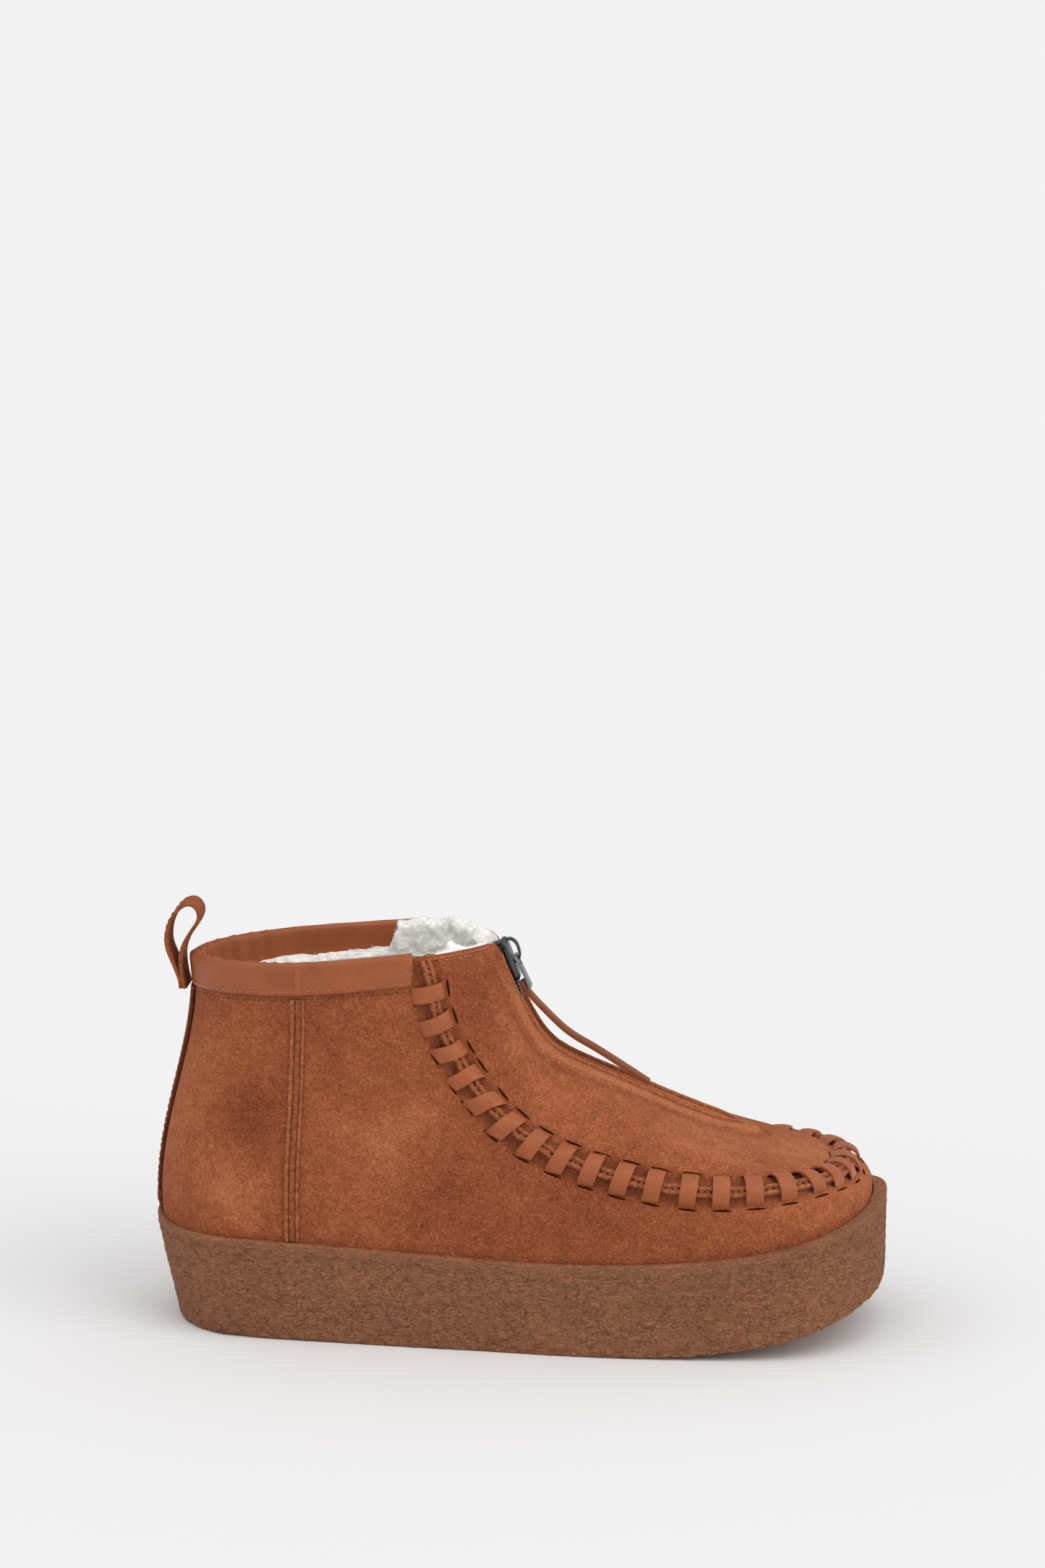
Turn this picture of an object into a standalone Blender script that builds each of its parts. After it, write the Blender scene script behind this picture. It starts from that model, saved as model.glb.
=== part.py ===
"""Fur-lined ankle boot, right foot, as separate closed solids.

Metres throughout. X runs from heel to toe, Y to the wearer's left (the medial
side of this right boot) and Z up. The floor is z = 0 and the origin is under
the middle of the flat tread.
"""
import bpy
import bmesh
import math
from mathutils import Vector

MM = 0.001
GAP = 0.3 * MM
SEAM_GAP = 0.5 * MM

# Sole: half-widths to the outer and inner side at shares of the length.
SOLE_LENGTH = 279.0 * MM
HEEL_ROUND = 0.115
TOE_ROUND = 0.20
TOE_POWER = 2.6
TIP_SHIFT = 13.0 * MM
TIP_START = 0.45
SOLE_WIDTHS = (
    # share, lateral mm, medial mm
    (0.00, 37.5, 36.0),
    (0.12, 40.5, 37.0),
    (0.30, 42.0, 36.5),
    (0.45, 45.0, 38.5),
    (0.60, 49.0, 44.5),
    (0.72, 49.8, 49.5),
    (0.82, 49.0, 51.5),
    (0.92, 48.0, 51.0),
    (1.00, 44.5, 49.5),
)
SOLE_HEIGHTS = (
    # share, rim mm, tread mm, rim inset mm, wall lean mm
    (0.00, 41.0, 0.0, 2.0, 8.4),
    (0.10, 40.3, 0.0, 2.2, 6.6),
    (0.20, 38.9, 0.0, 2.8, 3.2),
    (0.35, 36.7, 0.0, 3.2, 0.6),
    (0.50, 35.3, 0.0, 3.2, 0.3),
    (0.60, 35.4, 0.0, 3.2, 0.3),
    (0.72, 37.0, 0.8, 3.4, 0.3),
    (0.80, 39.4, 3.2, 3.8, 0.2),
    (0.90, 44.3, 9.0, 4.6, 0.2),
    (1.00, 51.3, 18.0, 5.4, 0.3),
)
RECESS_DEPTH = 5.0 * MM
RIM_BAND = 2.6 * MM
RIM_STEP = 0.25 * MM
TREAD_ROUND = 1.3 * MM
INSOLE_THICKNESS = 2.5 * MM

# Upper: top line of the collar at turns from the back to the front corner.
WALL = 2.6 * MM
COLLAR_ROWS = (
    # turn, x mm, half-width mm, z mm
    (0, -124.6, 0.0, 140.2),
    (20, -121.2, 10.8, 140.6),
    (40, -111.3, 21.3, 141.2),
    (60, -95.8, 29.0, 142.2),
    (80, -76.7, 32.6, 143.6),
    (100, -56.3, 32.4, 145.4),
    (120, -37.3, 30.2, 147.3),
    (140, -22.0, 24.6, 148.7),
    (155, -13.9, 15.6, 148.7),
    (168, -9.8, 8.2, 148.6),
    (180, -8.2, 3.9, 148.4),
)
# Centre line from the collar's front corner to where the toe's rib meets it.
FRONT_ROWS = (
    # share, x mm, z mm, zip half-gap mm
    (0.00, -8.2, 148.4, 3.9),
    (0.09, -4.4, 138.0, 3.9),
    (0.18, 0.2, 126.4, 3.6),
    (0.27, 5.2, 115.2, 3.2),
    (0.35, 12.4, 106.6, 2.9),
    (0.46, 24.0, 100.3, 2.7),
    (0.58, 38.5, 94.0, 2.6),
    (0.72, 57.0, 85.6, 2.5),
    (0.86, 77.0, 77.8, 2.4),
    (1.00, 99.0, 71.4, 0.0),
)
ZIP_END = 0.86
ZIP_START = 0.032
CHAIN_HALF = 2.0 * MM
CHAIN_TOP = -0.5 * MM
TAPE_THICK = 0.9 * MM
TAPE_WING = 2.8 * MM
TAPE_GAP = 0.8 * MM
CENTRE_SHIFT = 4.0 * MM
# Ribs run from the sole to the top line. One row per share of the sole's edge.
RIB_ROWS = (
    # share, top, lean deg, low reach, high reach, collar drop, forward, front drop, inner fullness
    (0.00, 0.00, 4.0, 0.36, 0.32, 96.5, 60.0, 8.0, 1.0),
    (0.12, 0.25, 5.0, 0.36, 0.32, 94.0, 60.0, 8.0, 1.0),
    (0.22, 0.47, 4.0, 0.34, 0.33, 89.5, 60.0, 8.0, 1.0),
    (0.32, 0.72, 2.0, 0.34, 0.33, 86.0, 60.0, 8.0, 1.0),
    (0.38, 0.88, 1.0, 0.34, 0.32, 84.0, 60.0, 8.0, 1.0),
    (0.42, 1.00, 0.0, 0.34, 0.30, 84.0, 56.0, 9.0, 1.0),
    (0.47, 1.13, 0.0, 0.35, 0.29, 84.0, 42.0, 13.0, 1.0),
    (0.52, 1.25, 0.0, 0.36, 0.29, 84.0, 27.0, 15.0, 1.0),
    (0.57, 1.35, 0.0, 0.36, 0.31, 84.0, 14.0, 14.0, 1.0),
    (0.63, 1.46, 0.5, 0.36, 0.34, 84.0, 6.0, 11.0, 1.02),
    (0.70, 1.58, 1.0, 0.34, 0.37, 84.0, 3.0, 8.0, 1.06),
    (0.78, 1.73, 2.0, 0.31, 0.40, 84.0, 9.0, 6.0, 1.12),
    (0.85, 1.85, 3.0, 0.28, 0.42, 84.0, 23.0, 5.0, 1.14),
    (0.93, 1.955, 4.0, 0.25, 0.42, 84.0, 57.0, 4.0, 1.07),
    (1.00, 2.00, 4.0, 0.24, 0.42, 84.0, 90.0, 3.0, 1.0),
)
RIBS = 40
ROWS = 11

# Apron seam: place on the upper at shares of the way from collar to toe.
BAND_END = 0.298
SEAM_ROWS = (
    # share, share of the sole's edge, height up the rib
    (0.000, 0.306, 1.000),
    (0.084, 0.322, 0.814),
    (0.134, 0.341, 0.712),
    (0.176, 0.361, 0.625),
    (0.221, 0.395, 0.533),
    (0.262, 0.431, 0.473),
    (0.320, 0.478, 0.436),
    (0.376, 0.522, 0.416),
    (0.423, 0.559, 0.397),
    (0.484, 0.602, 0.368),
    (0.540, 0.641, 0.340),
    (0.636, 0.711, 0.316),
    (0.734, 0.784, 0.336),
    (0.787, 0.826, 0.360),
    (0.861, 0.881, 0.385),
    (0.917, 0.928, 0.418),
    (1.000, 1.000, 0.460),
)
RIDGE_WIDTH = 4.2 * MM
RIDGE_HEIGHT = 2.2 * MM
LACE_COUNT = 37
LACE_WIDTH = 6.3 * MM
LACE_REACH = 6.5 * MM
LACE_THICK = 1.1 * MM
LACE_LEAN_ROWS = (
    # share from collar to toe, lean mm at the bar's end
    (0.00, -0.6),
    (0.10, 0.0),
    (0.18, 1.1),
    (0.30, 1.4),
    (0.50, 0.7),
    (0.80, 0.0),
    (1.00, 0.0),
)

BAND_THICK = 1.1 * MM
BAND_OUTSIDE = 10.8 * MM
BAND_INSIDE = 14.0 * MM

SIDE_SEAM_ROWS = (
    # height up the rib, share of the sole's edge
    (0.0, 0.240),
    (0.3, 0.232),
    (0.5, 0.221),
    (0.7, 0.210),
    (1.0, 0.202),
)
STAY_HALF = 6.5 * MM
STAY_THICK = 1.3 * MM

STRAP_THICK = 1.4 * MM
STRAP_WIDTH = 14.0 * MM
LOOP_ROWS = (
    # x mm, z mm of the strap's middle
    (-126.9, 128.0),
    (-127.9, 131.8),
    (-128.5, 136.2),
    (-128.6, 140.6),
    (-127.5, 144.7),
    (-125.2, 148.9),
    (-122.7, 152.4),
    (-121.3, 155.8),
    (-121.9, 158.7),
    (-124.3, 160.8),
    (-127.3, 160.2),
    (-130.4, 157.2),
    (-132.8, 152.8),
    (-133.8, 148.7),
    (-133.8, 144.3),
    (-132.2, 139.8),
    (-130.4, 135.4),
    (-129.0, 131.4),
    (-128.6, 128.0),
)

# Zip slider: lengths along the zip from the collar's corner, and out from it.
SLIDER_LEVELS = (
    # out mm, half-width mm, from mm, to mm
    (-6.2, 2.4, 1.4, 15.0),
    (-5.1, 2.4, 1.4, 15.0),
    (-5.1, 1.5, 1.4, 3.4),
    (0.4, 1.5, 1.4, 3.4),
    (0.4, 4.1, 1.0, 18.0),
    (1.6, 4.1, 1.0, 18.0),
    (2.3, 3.4, 1.7, 17.2),
)
ARCH_ROWS = (
    # along mm, out mm
    (1.9, 1.9),
    (2.3, 3.8),
    (4.2, 5.1),
    (6.6, 5.3),
    (9.4, 4.8),
    (10.9, 3.5),
    (11.3, 1.9),
)
ARCH_WIDTH = 2.2 * MM
ARCH_THICK = 1.0 * MM
PIN_ALONG = 8.8 * MM
PIN_OUT = 3.4 * MM
TAB_TILT = 4.3
TAB_THICK = 1.0 * MM
TAB_ROWS = (
    # along mm from the pin, half-width mm, slot half-width mm
    (-0.4, 2.5, 0.0),
    (0.4, 2.7, 1.45),
    (4.1, 2.6, 1.45),
    (5.2, 2.6, 0.0),
    (9.5, 2.7, 0.0),
    (11.6, 3.2, 0.0),
    (13.6, 3.3, 0.0),
)
TAB_STRAP_WIDTH = 5.0 * MM
TAB_STRAP_THICK = 1.7 * MM
TAB_STRAP_ROWS = (
    # x mm, z mm of the strap's middle
    (0.4, 131.6),
    (2.0, 128.2),
    (4.8, 124.8),
    (8.4, 121.0),
    (13.0, 116.4),
    (17.2, 112.6),
    (22.1, 109.3),
    (27.0, 106.6),
    (36.9, 100.4),
    (48.8, 92.7),
)

COLOURS = {
    "suede": (0.33, 0.105, 0.035),
    "leather": (0.27, 0.10, 0.045),
    "crepe": (0.22, 0.095, 0.05),
    "fleece": (0.78, 0.74, 0.68),
    "gunmetal": (0.07, 0.07, 0.075),
    "tape": (0.10, 0.045, 0.025),
}
HOME = "Fur-lined ankle boot"


def between(rows, column, at):
    """Smooth value of a table's column; the first column is what it runs on."""
    keys = [row[0] for row in rows]
    values = [row[column] for row in rows]
    last = len(keys) - 1
    at = min(max(at, keys[0]), keys[last])
    cell = 0
    while cell < last - 1 and at > keys[cell + 1]:
        cell += 1

    def slope(index):
        low = max(index - 1, 0)
        high = min(index + 1, last)
        return (values[high] - values[low]) / (keys[high] - keys[low])

    width = keys[cell + 1] - keys[cell]
    t = (at - keys[cell]) / width
    start = slope(cell) * width
    end = slope(cell + 1) * width
    square = t * t
    cube = square * t
    return (
        (2 * cube - 3 * square + 1) * values[cell]
        + (cube - 2 * square + t) * start
        + (3 * square - 2 * cube) * values[cell + 1]
        + (cube - square) * end
    )


def rounding(share):
    """How much of the full half-width is left near the heel's and toe's ends."""
    heel = 1.0
    if share < HEEL_ROUND:
        heel = math.sqrt(max(0.0, 1 - (1 - share / HEEL_ROUND) ** 2))
    toe = 1.0
    if share > 1 - TOE_ROUND:
        run = min(1.0, (share - 1 + TOE_ROUND) / TOE_ROUND)
        toe = max(0.0, 1 - run ** TOE_POWER) ** (1 / TOE_POWER)
    return heel * toe


def middle_line(share):
    """Y of the foot's middle line, which turns to the inner side at the toe."""
    return TIP_SHIFT * max(0.0, (share - TIP_START) / (1 - TIP_START)) ** 1.5


def raw_edge(side, share):
    """Outline point of the sole at a share of its length."""
    middle = middle_line(share)
    if side == "lateral":
        full = -between(SOLE_WIDTHS, 1, share) * MM
    else:
        full = between(SOLE_WIDTHS, 2, share) * MM
    y = middle + (full - middle) * rounding(share)
    return Vector((SOLE_LENGTH * (share - 0.5), y, 0.0))


def arc_table(side):
    """Pairs of share along the edge and share along the length."""
    steps = 400
    shares = [(1 - math.cos(math.pi * i / steps)) / 2 for i in range(steps + 1)]
    points = [raw_edge(side, share) for share in shares]
    runs = [0.0]
    for before, after in zip(points, points[1:]):
        runs.append(runs[-1] + (after - before).length)
    return [(run / runs[-1], share) for run, share in zip(runs, shares)]


ARCS = {side: arc_table(side) for side in ("lateral", "medial")}


def length_share(side, edge):
    """Share of the sole's length at a share of the edge."""
    table = ARCS[side]
    low = 0
    high = len(table) - 1
    while high - low > 1:
        half = (low + high) // 2
        if table[half][0] <= edge:
            low = half
        else:
            high = half
    span = table[high][0] - table[low][0]
    part = 0.0 if span <= 0 else (edge - table[low][0]) / span
    return table[low][1] + (table[high][1] - table[low][1]) * part


def split_turn(turn):
    """A turn of 0 to 2 runs up the lateral edge and back down the medial one."""
    turn = turn % 2.0
    if turn <= 1.0:
        return "lateral", turn
    return "medial", 2.0 - turn


def edge_at(turn):
    side, edge = split_turn(turn)
    return raw_edge(side, length_share(side, edge))


def outward_at(turn):
    """Unit vector that points out of the outline."""
    step = 0.004
    along = edge_at(turn + step) - edge_at(turn - step)
    return Vector((along.y, -along.x, 0.0)).normalized()


def outline(turn, inset, z):
    point = edge_at(turn) - outward_at(turn) * inset
    point.z = z
    return point


def sole_value(turn, column):
    side, edge = split_turn(turn)
    return between(SOLE_HEIGHTS, column, length_share(side, edge)) * MM


def rim_height(turn):
    return sole_value(turn, 1)


def tread_height(turn):
    return max(0.0, sole_value(turn, 2))


def rim_inset(turn):
    return sole_value(turn, 3)


def top_line(side, place):
    """Point of the upper's top edge: 0 to 1 round the collar, 1 to 2 down the front."""
    sign = -1.0 if side == "lateral" else 1.0
    if place <= 1.0:
        turn = 180.0 * place
        x = between(COLLAR_ROWS, 1, turn) * MM
        half = max(0.0, between(COLLAR_ROWS, 2, turn)) * MM
        z = between(COLLAR_ROWS, 3, turn) * MM
        shift = CENTRE_SHIFT * place * place
        return Vector((x, sign * half + shift, z))
    share = place - 1.0
    x = between(FRONT_ROWS, 1, share) * MM
    z = between(FRONT_ROWS, 2, share) * MM
    middle = CENTRE_SHIFT + middle_line(x / SOLE_LENGTH + 0.5) * 0.75
    start = middle_line(COLLAR_ROWS[-1][1] * MM / SOLE_LENGTH + 0.5) * 0.75
    half = 0.0
    if share < ZIP_END:
        half = between(FRONT_ROWS, 3, share) * MM
    return Vector((x, middle - start + sign * half, z))


def front_direction(place):
    step = 0.01
    ahead = top_line("medial", min(2.0, place + step)) + top_line("lateral", min(2.0, place + step))
    behind = top_line("medial", max(1.001, place - step)) + top_line("lateral", max(1.001, place - step))
    along = ahead - behind
    along.y = 0.0
    return along.normalized()


def collar_direction(side, place, drop):
    """Way a rib leaves the collar: down, and out or in by the drop's angle."""
    sign = -1.0 if side == "lateral" else 1.0
    step = 0.01
    along = top_line(side, min(1.0, place + step)) - top_line(side, max(0.0, place - step))
    if place <= step:
        along = Vector((0.0, sign, 0.0))
    facing = Vector((along.y, -along.x, 0.0)) * (-sign)
    facing.normalize()
    return facing * math.cos(drop) + Vector((0.0, 0.0, -1.0)) * math.sin(drop)


def front_way(side, place, forward, drop):
    """Way a rib leaves the front line: across, turned forward and dropped."""
    sign = -1.0 if side == "lateral" else 1.0
    across = Vector((0.0, sign, 0.0))
    travel = front_direction(max(1.01, place))
    inward = travel.cross(across).normalized()
    if inward.z > 0:
        inward = -inward
    across = across * math.cos(forward) + travel * math.sin(forward)
    return across * math.cos(drop) + inward * math.sin(drop)


def rib_points(turn):
    """The four points of a rib's cubic curve."""
    side, edge = split_turn(turn)
    foot = outline(turn, rim_inset(turn) + GAP, rim_height(turn) + 0.5 * GAP)
    place = min(2.0, max(0.0, between(RIB_ROWS, 1, edge)))
    head = top_line(side, place)
    reach = (head - foot).length
    if side == "medial":
        reach *= between(RIB_ROWS, 8, edge)
    lean = math.radians(between(RIB_ROWS, 2, edge))
    rise = outward_at(turn) * math.sin(lean) + Vector((0, 0, math.cos(lean)))
    low = foot + rise * reach * between(RIB_ROWS, 3, edge)
    collar_drop = math.radians(between(RIB_ROWS, 5, edge))
    forward = math.radians(between(RIB_ROWS, 6, edge))
    front_drop = math.radians(between(RIB_ROWS, 7, edge))
    share = min(1.0, max(0.0, (place - 0.78) / 0.22))
    share = share * share * (3 - 2 * share)
    way = Vector((0.0, 0.0, 0.0))
    if share < 1.0:
        way += collar_direction(side, place, collar_drop) * (1 - share)
    if share > 0.0:
        way += front_way(side, place, forward, front_drop) * share
    high = head + way.normalized() * reach * between(RIB_ROWS, 4, edge)
    return foot, low, high, head


def bezier(points, t):
    a, b, c, d = points
    s = 1 - t
    return a * (s * s * s) + b * (3 * s * s * t) + c * (3 * s * t * t) + d * (t * t * t)


RIB_CACHE = {}


def cached_rib(turn):
    key = round(turn % 2.0, 7)
    if key not in RIB_CACHE:
        RIB_CACHE[key] = rib_points(turn)
    return RIB_CACHE[key]


def bare(turn, height):
    """Outer surface of the upper with nothing added."""
    return bezier(cached_rib(turn), height)


def facing_at(turn, height):
    """Outward unit normal of the upper."""
    step = 0.004
    turn = turn % 2.0
    low = max(0.0, height - 0.01)
    high = min(1.0, height + 0.01)
    side, edge = split_turn(turn)
    before = turn - step
    after = turn + step
    if height > 0.9 and side == "lateral":
        before = max(before, 0.0) if edge > step else before
        after = min(after, 1.0)
    if height > 0.9 and side == "medial":
        before = max(before, 1.0)
    along = bare(after, height) - bare(before, height)
    up = bare(turn, high) - bare(turn, low)
    normal = along.cross(up)
    if normal.length < 1e-12:
        return outward_at(turn)
    return normal.normalized()


def upper_at(turn, height, out=0.0):
    """Point of the upper's outer surface, moved out along the surface normal."""
    return bare(turn, height) + facing_at(turn, height) * out


def walk(turn, height, direction, length):
    """Move over the surface from a place by a length along a direction."""
    steps = max(1, int(math.ceil(abs(length) / (2.0 * MM))))
    part = length / steps
    for _ in range(steps):
        step = 0.003
        here = bare(turn, height)
        d_turn = (bare(turn + step, height) - bare(turn - step, height)) / (2 * step)
        low = max(0.0, height - step)
        high = min(1.0, height + step)
        d_height = (bare(turn, high) - bare(turn, low)) / (high - low)
        aa = d_turn.dot(d_turn)
        ab = d_turn.dot(d_height)
        bb = d_height.dot(d_height)
        ra = d_turn.dot(direction) * part
        rb = d_height.dot(direction) * part
        det = aa * bb - ab * ab
        turn += (ra * bb - rb * ab) / det
        height = min(1.0, height + (rb * aa - ra * ab) / det)
    return turn, height


def material(name, roughness, metallic=0.0):
    made = bpy.data.materials.new(name)
    made.use_nodes = True
    shader = made.node_tree.nodes["Principled BSDF"]
    colour = COLOURS[name.split(" ")[0]]
    shader.inputs["Base Color"].default_value = (*colour, 1.0)
    shader.inputs["Roughness"].default_value = roughness
    shader.inputs["Metallic"].default_value = metallic
    made.diffuse_color = (*colour, 1.0)
    return made


def add_node(name, mesh, look):
    """Put a finished bmesh into the part's collection as one named object."""
    bmesh.ops.recalc_face_normals(mesh, faces=mesh.faces)
    if name != "upper" and mesh.calc_volume(signed=True) < 0:
        bmesh.ops.reverse_faces(mesh, faces=mesh.faces)
    data = bpy.data.meshes.new(name)
    mesh.to_mesh(data)
    mesh.free()
    data.materials.append(look)
    for polygon in data.polygons:
        polygon.use_smooth = False
    node = bpy.data.objects.new(name, data)
    bpy.data.collections[HOME].objects.link(node)
    return node


def skin_rings(mesh, rings, closed=False):
    """Quads between rings of the same number of points, ends filled when open."""
    made = [[mesh.verts.new(point) for point in ring] for ring in rings]
    count = len(rings[0])
    pairs = list(zip(made, made[1:]))
    if closed:
        pairs.append((made[-1], made[0]))
    for before, after in pairs:
        for i in range(count):
            j = (i + 1) % count
            mesh.faces.new((before[i], before[j], after[j], after[i]))
    if not closed:
        mesh.faces.new(list(reversed(made[0])))
        mesh.faces.new(made[-1])
    return made


def fill_across(mesh, ring):
    """Close a ring that runs lateral then medial with rungs across the foot."""
    count = len(ring)
    half = count // 2
    for i in range(half):
        left = ring[i]
        left_next = ring[i + 1]
        right = ring[(count - i) % count]
        right_next = ring[(count - i - 1) % count]
        if i == 0:
            mesh.faces.new((left, left_next, right_next))
        elif i == half - 1:
            mesh.faces.new((left, left_next, right))
        else:
            mesh.faces.new((left, left_next, right_next, right))


def sole_turns(count):
    return [2.0 * i / count for i in range(count)]


def build_outsole(look):
    mesh = bmesh.new()
    turns = sole_turns(2 * RIBS)
    rings = []

    def ring(inset_of, height_of):
        points = []
        for turn in turns:
            points.append(outline(turn, inset_of(turn), height_of(turn)))
        rings.append(points)

    def wall_inset(turn, part):
        return sole_value(turn, 4) * (1 - part) ** 1.15 + RIM_STEP

    def wall_height(turn, part):
        low = tread_height(turn)
        return low + (rim_height(turn) - RIM_BAND - low) * part

    ring(lambda t: wall_inset(t, 0.0) + TREAD_ROUND, tread_height)
    ring(lambda t: wall_inset(t, 0.0) + 0.35 * TREAD_ROUND, lambda t: tread_height(t) + 0.3 * TREAD_ROUND)
    ring(lambda t: wall_inset(t, 0.06), lambda t: tread_height(t) + TREAD_ROUND)
    for part in (0.35, 0.7, 0.96):
        ring(lambda t, part=part: wall_inset(t, part), lambda t, part=part: wall_height(t, part))
    ring(lambda t: 0.1 * MM, lambda t: wall_height(t, 1.0))
    ring(lambda t: 0.0, lambda t: rim_height(t) - 0.6 * MM)
    ring(lambda t: 0.6 * MM, rim_height)
    ring(rim_inset, rim_height)
    ring(rim_inset, lambda t: rim_height(t) - RECESS_DEPTH)
    made = [[mesh.verts.new(point) for point in points] for points in rings]
    count = len(turns)
    for before, after in zip(made, made[1:]):
        for i in range(count):
            j = (i + 1) % count
            mesh.faces.new((before[i], before[j], after[j], after[i]))
    fill_across(mesh, made[0])
    fill_across(mesh, made[-1])
    return add_node("outsole", mesh, look)


def build_insole(look):
    mesh = bmesh.new()
    turns = sole_turns(2 * RIBS)
    inset = 2 * GAP + WALL + GAP
    rings = []
    for lift, extra in ((GAP, 0.0), (GAP + INSOLE_THICKNESS, 0.0)):
        points = []
        for turn in turns:
            z = rim_height(turn) - RECESS_DEPTH + lift
            points.append(outline(turn, rim_inset(turn) + inset + extra, z))
        rings.append(points)
    made = [[mesh.verts.new(point) for point in points] for points in rings]
    count = len(turns)
    for i in range(count):
        j = (i + 1) % count
        mesh.faces.new((made[0][i], made[0][j], made[1][j], made[1][i]))
    fill_across(mesh, made[0])
    fill_across(mesh, made[1])
    return add_node("insole", mesh, look)


def rib_edges():
    """Shares of the edge where the upper has a rib."""
    edges = []
    for i in range(RIBS + 1):
        edges.append(i / RIBS)
    return edges


def build_upper(look):
    """Open shell of ribs, given its wall by a Solidify modifier."""
    mesh = bmesh.new()
    edges = rib_edges()
    turns = edges + [2.0 - edge for edge in reversed(edges[1:-1])]
    columns = []
    for turn in turns:
        foot = bare(turn, 0.0)
        column = [Vector((foot.x, foot.y, foot.z - RECESS_DEPTH + 1.2 * GAP))]
        for row in range(ROWS + 1):
            column.append(bare(turn, row / ROWS))
        columns.append(column)
    made = []
    joined = {}
    for turn, column in zip(turns, columns):
        side, edge = split_turn(turn)
        verts = [mesh.verts.new(point) for point in column[:-1]]
        place = between(RIB_ROWS, 1, edge)
        key = round(edge, 5)
        if place - 1.0 >= ZIP_END and key in joined:
            verts.append(joined[key])
        else:
            head = mesh.verts.new(column[-1])
            joined[key] = head
            verts.append(head)
        made.append(verts)
    count = len(made)
    for i in range(count):
        j = (i + 1) % count
        for row in range(len(made[0]) - 1):
            corners = [made[i][row], made[j][row], made[j][row + 1], made[i][row + 1]]
            seen = []
            for corner in corners:
                if corner not in seen:
                    seen.append(corner)
            if len(seen) > 2:
                mesh.faces.new(seen)
    mesh.normal_update()
    node = add_node("upper", mesh, look)
    shell = node.modifiers.new("Wall", "SOLIDIFY")
    shell.thickness = WALL
    shell.offset = -1.0
    shell.use_even_offset = True
    shell.use_quality_normals = True
    return node


def build_band(look):
    """Leather binding folded over the collar's edge from seam to seam."""
    mesh = bmesh.new()
    edges = [edge for edge in rib_edges() if edge < BAND_END - 0.004] + [BAND_END]
    turns = [-edge for edge in reversed(edges[1:])] + edges
    rings = []
    for turn in turns:
        rib = cached_rib(turn)
        length = (rib[3] - rib[0]).length
        low = 1.0 - BAND_OUTSIDE / length
        inner = 1.0 - BAND_INSIDE / length
        top = bare(turn, 1.0)
        up = (bare(turn, 1.0) - bare(turn, 0.97)).normalized()
        facing = facing_at(turn, 1.0)
        heights = (low, (low + 1.0) / 2, 1.0)
        inner_heights = (1.0, (inner + 1.0) / 2, inner)
        far = GAP + BAND_THICK
        ring = [upper_at(turn, height, GAP) for height in heights]
        ring.append(top + facing * GAP * 0.6 + up * GAP)
        ring.append(top - facing * (WALL + GAP * 0.6) + up * GAP)
        ring += [upper_at(turn, height, -(WALL + GAP)) for height in inner_heights]
        ring += [upper_at(turn, height, -(WALL + far)) for height in reversed(inner_heights)]
        ring.append(top - facing * (WALL + GAP) + up * (GAP + 0.8 * BAND_THICK))
        ring.append(top - facing * (WALL * 0.5) + up * (GAP + 1.25 * BAND_THICK))
        ring.append(top + facing * GAP + up * (GAP + 0.8 * BAND_THICK))
        ring += [upper_at(turn, height, far) for height in reversed(heights)]
        rings.append(ring)
    skin_rings(mesh, rings)
    return add_node("collar_band", mesh, look)


def seam_path(count):
    """Turns and heights along the apron seam from lateral to medial collar."""
    places = []
    for i in range(count + 1):
        share = 2.0 * i / count
        if share <= 1.0:
            turn = between(SEAM_ROWS, 1, share)
        else:
            share = 2.0 - share
            turn = 2.0 - between(SEAM_ROWS, 1, share)
        places.append((turn, min(1.0, between(SEAM_ROWS, 2, share))))
    return places


def even_seam(step):
    """Places on the seam at even spacing, with the run's direction."""
    fine = seam_path(400)
    points = [bare(turn, height) for turn, height in fine]
    runs = [0.0]
    for before, after in zip(points, points[1:]):
        runs.append(runs[-1] + (after - before).length)
    total = runs[-1]
    count = int(round(total / step))
    out = []
    cell = 0
    for i in range(count + 1):
        want = total * i / count
        while cell < len(runs) - 2 and runs[cell + 1] < want:
            cell += 1
        part = (want - runs[cell]) / (runs[cell + 1] - runs[cell])
        turn = fine[cell][0] + (fine[cell + 1][0] - fine[cell][0]) * part
        height = fine[cell][1] + (fine[cell + 1][1] - fine[cell][1]) * part
        run = (points[cell + 1] - points[cell]).normalized()
        out.append((turn, height, run))
    return out, total


def seam_frame(turn, height, run):
    facing = facing_at(turn, height)
    up = facing.cross(run).normalized()
    return facing, up


def ridge_ring(turn, height, run, base, top):
    """Section of a raised seam: two edges with a groove between."""
    facing, up = seam_frame(turn, height, run)
    half = RIDGE_WIDTH / 2

    def spot(offset, out):
        near_turn, near_height = walk(turn, height, up, offset)
        return upper_at(near_turn, near_height, out)

    middle = bare(turn, height)
    return [
        spot(-half, base),
        middle + facing * base,
        spot(half, base),
        spot(half * 0.92, top * 0.9 + base),
        middle + up * half * 0.62 + facing * (base + top),
        middle + up * half * 0.2 + facing * (base + top * 0.93),
        middle + facing * (base + top * 0.45),
        middle - up * half * 0.2 + facing * (base + top * 0.93),
        middle - up * half * 0.62 + facing * (base + top),
        spot(-half * 0.92, top * 0.9 + base),
    ]


def build_apron_seam(look):
    mesh = bmesh.new()
    path, total = even_seam(5.5 * MM)
    rings = []
    for turn, height, run in path[1:-1]:
        rings.append(ridge_ring(turn, height, run, SEAM_GAP, RIDGE_HEIGHT))
    skin_rings(mesh, rings)
    return add_node("apron_seam", mesh, look)


def side_seam_place(side, height):
    edge = between(SIDE_SEAM_ROWS, 1, height)
    return edge if side == "lateral" else 2.0 - edge


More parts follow.
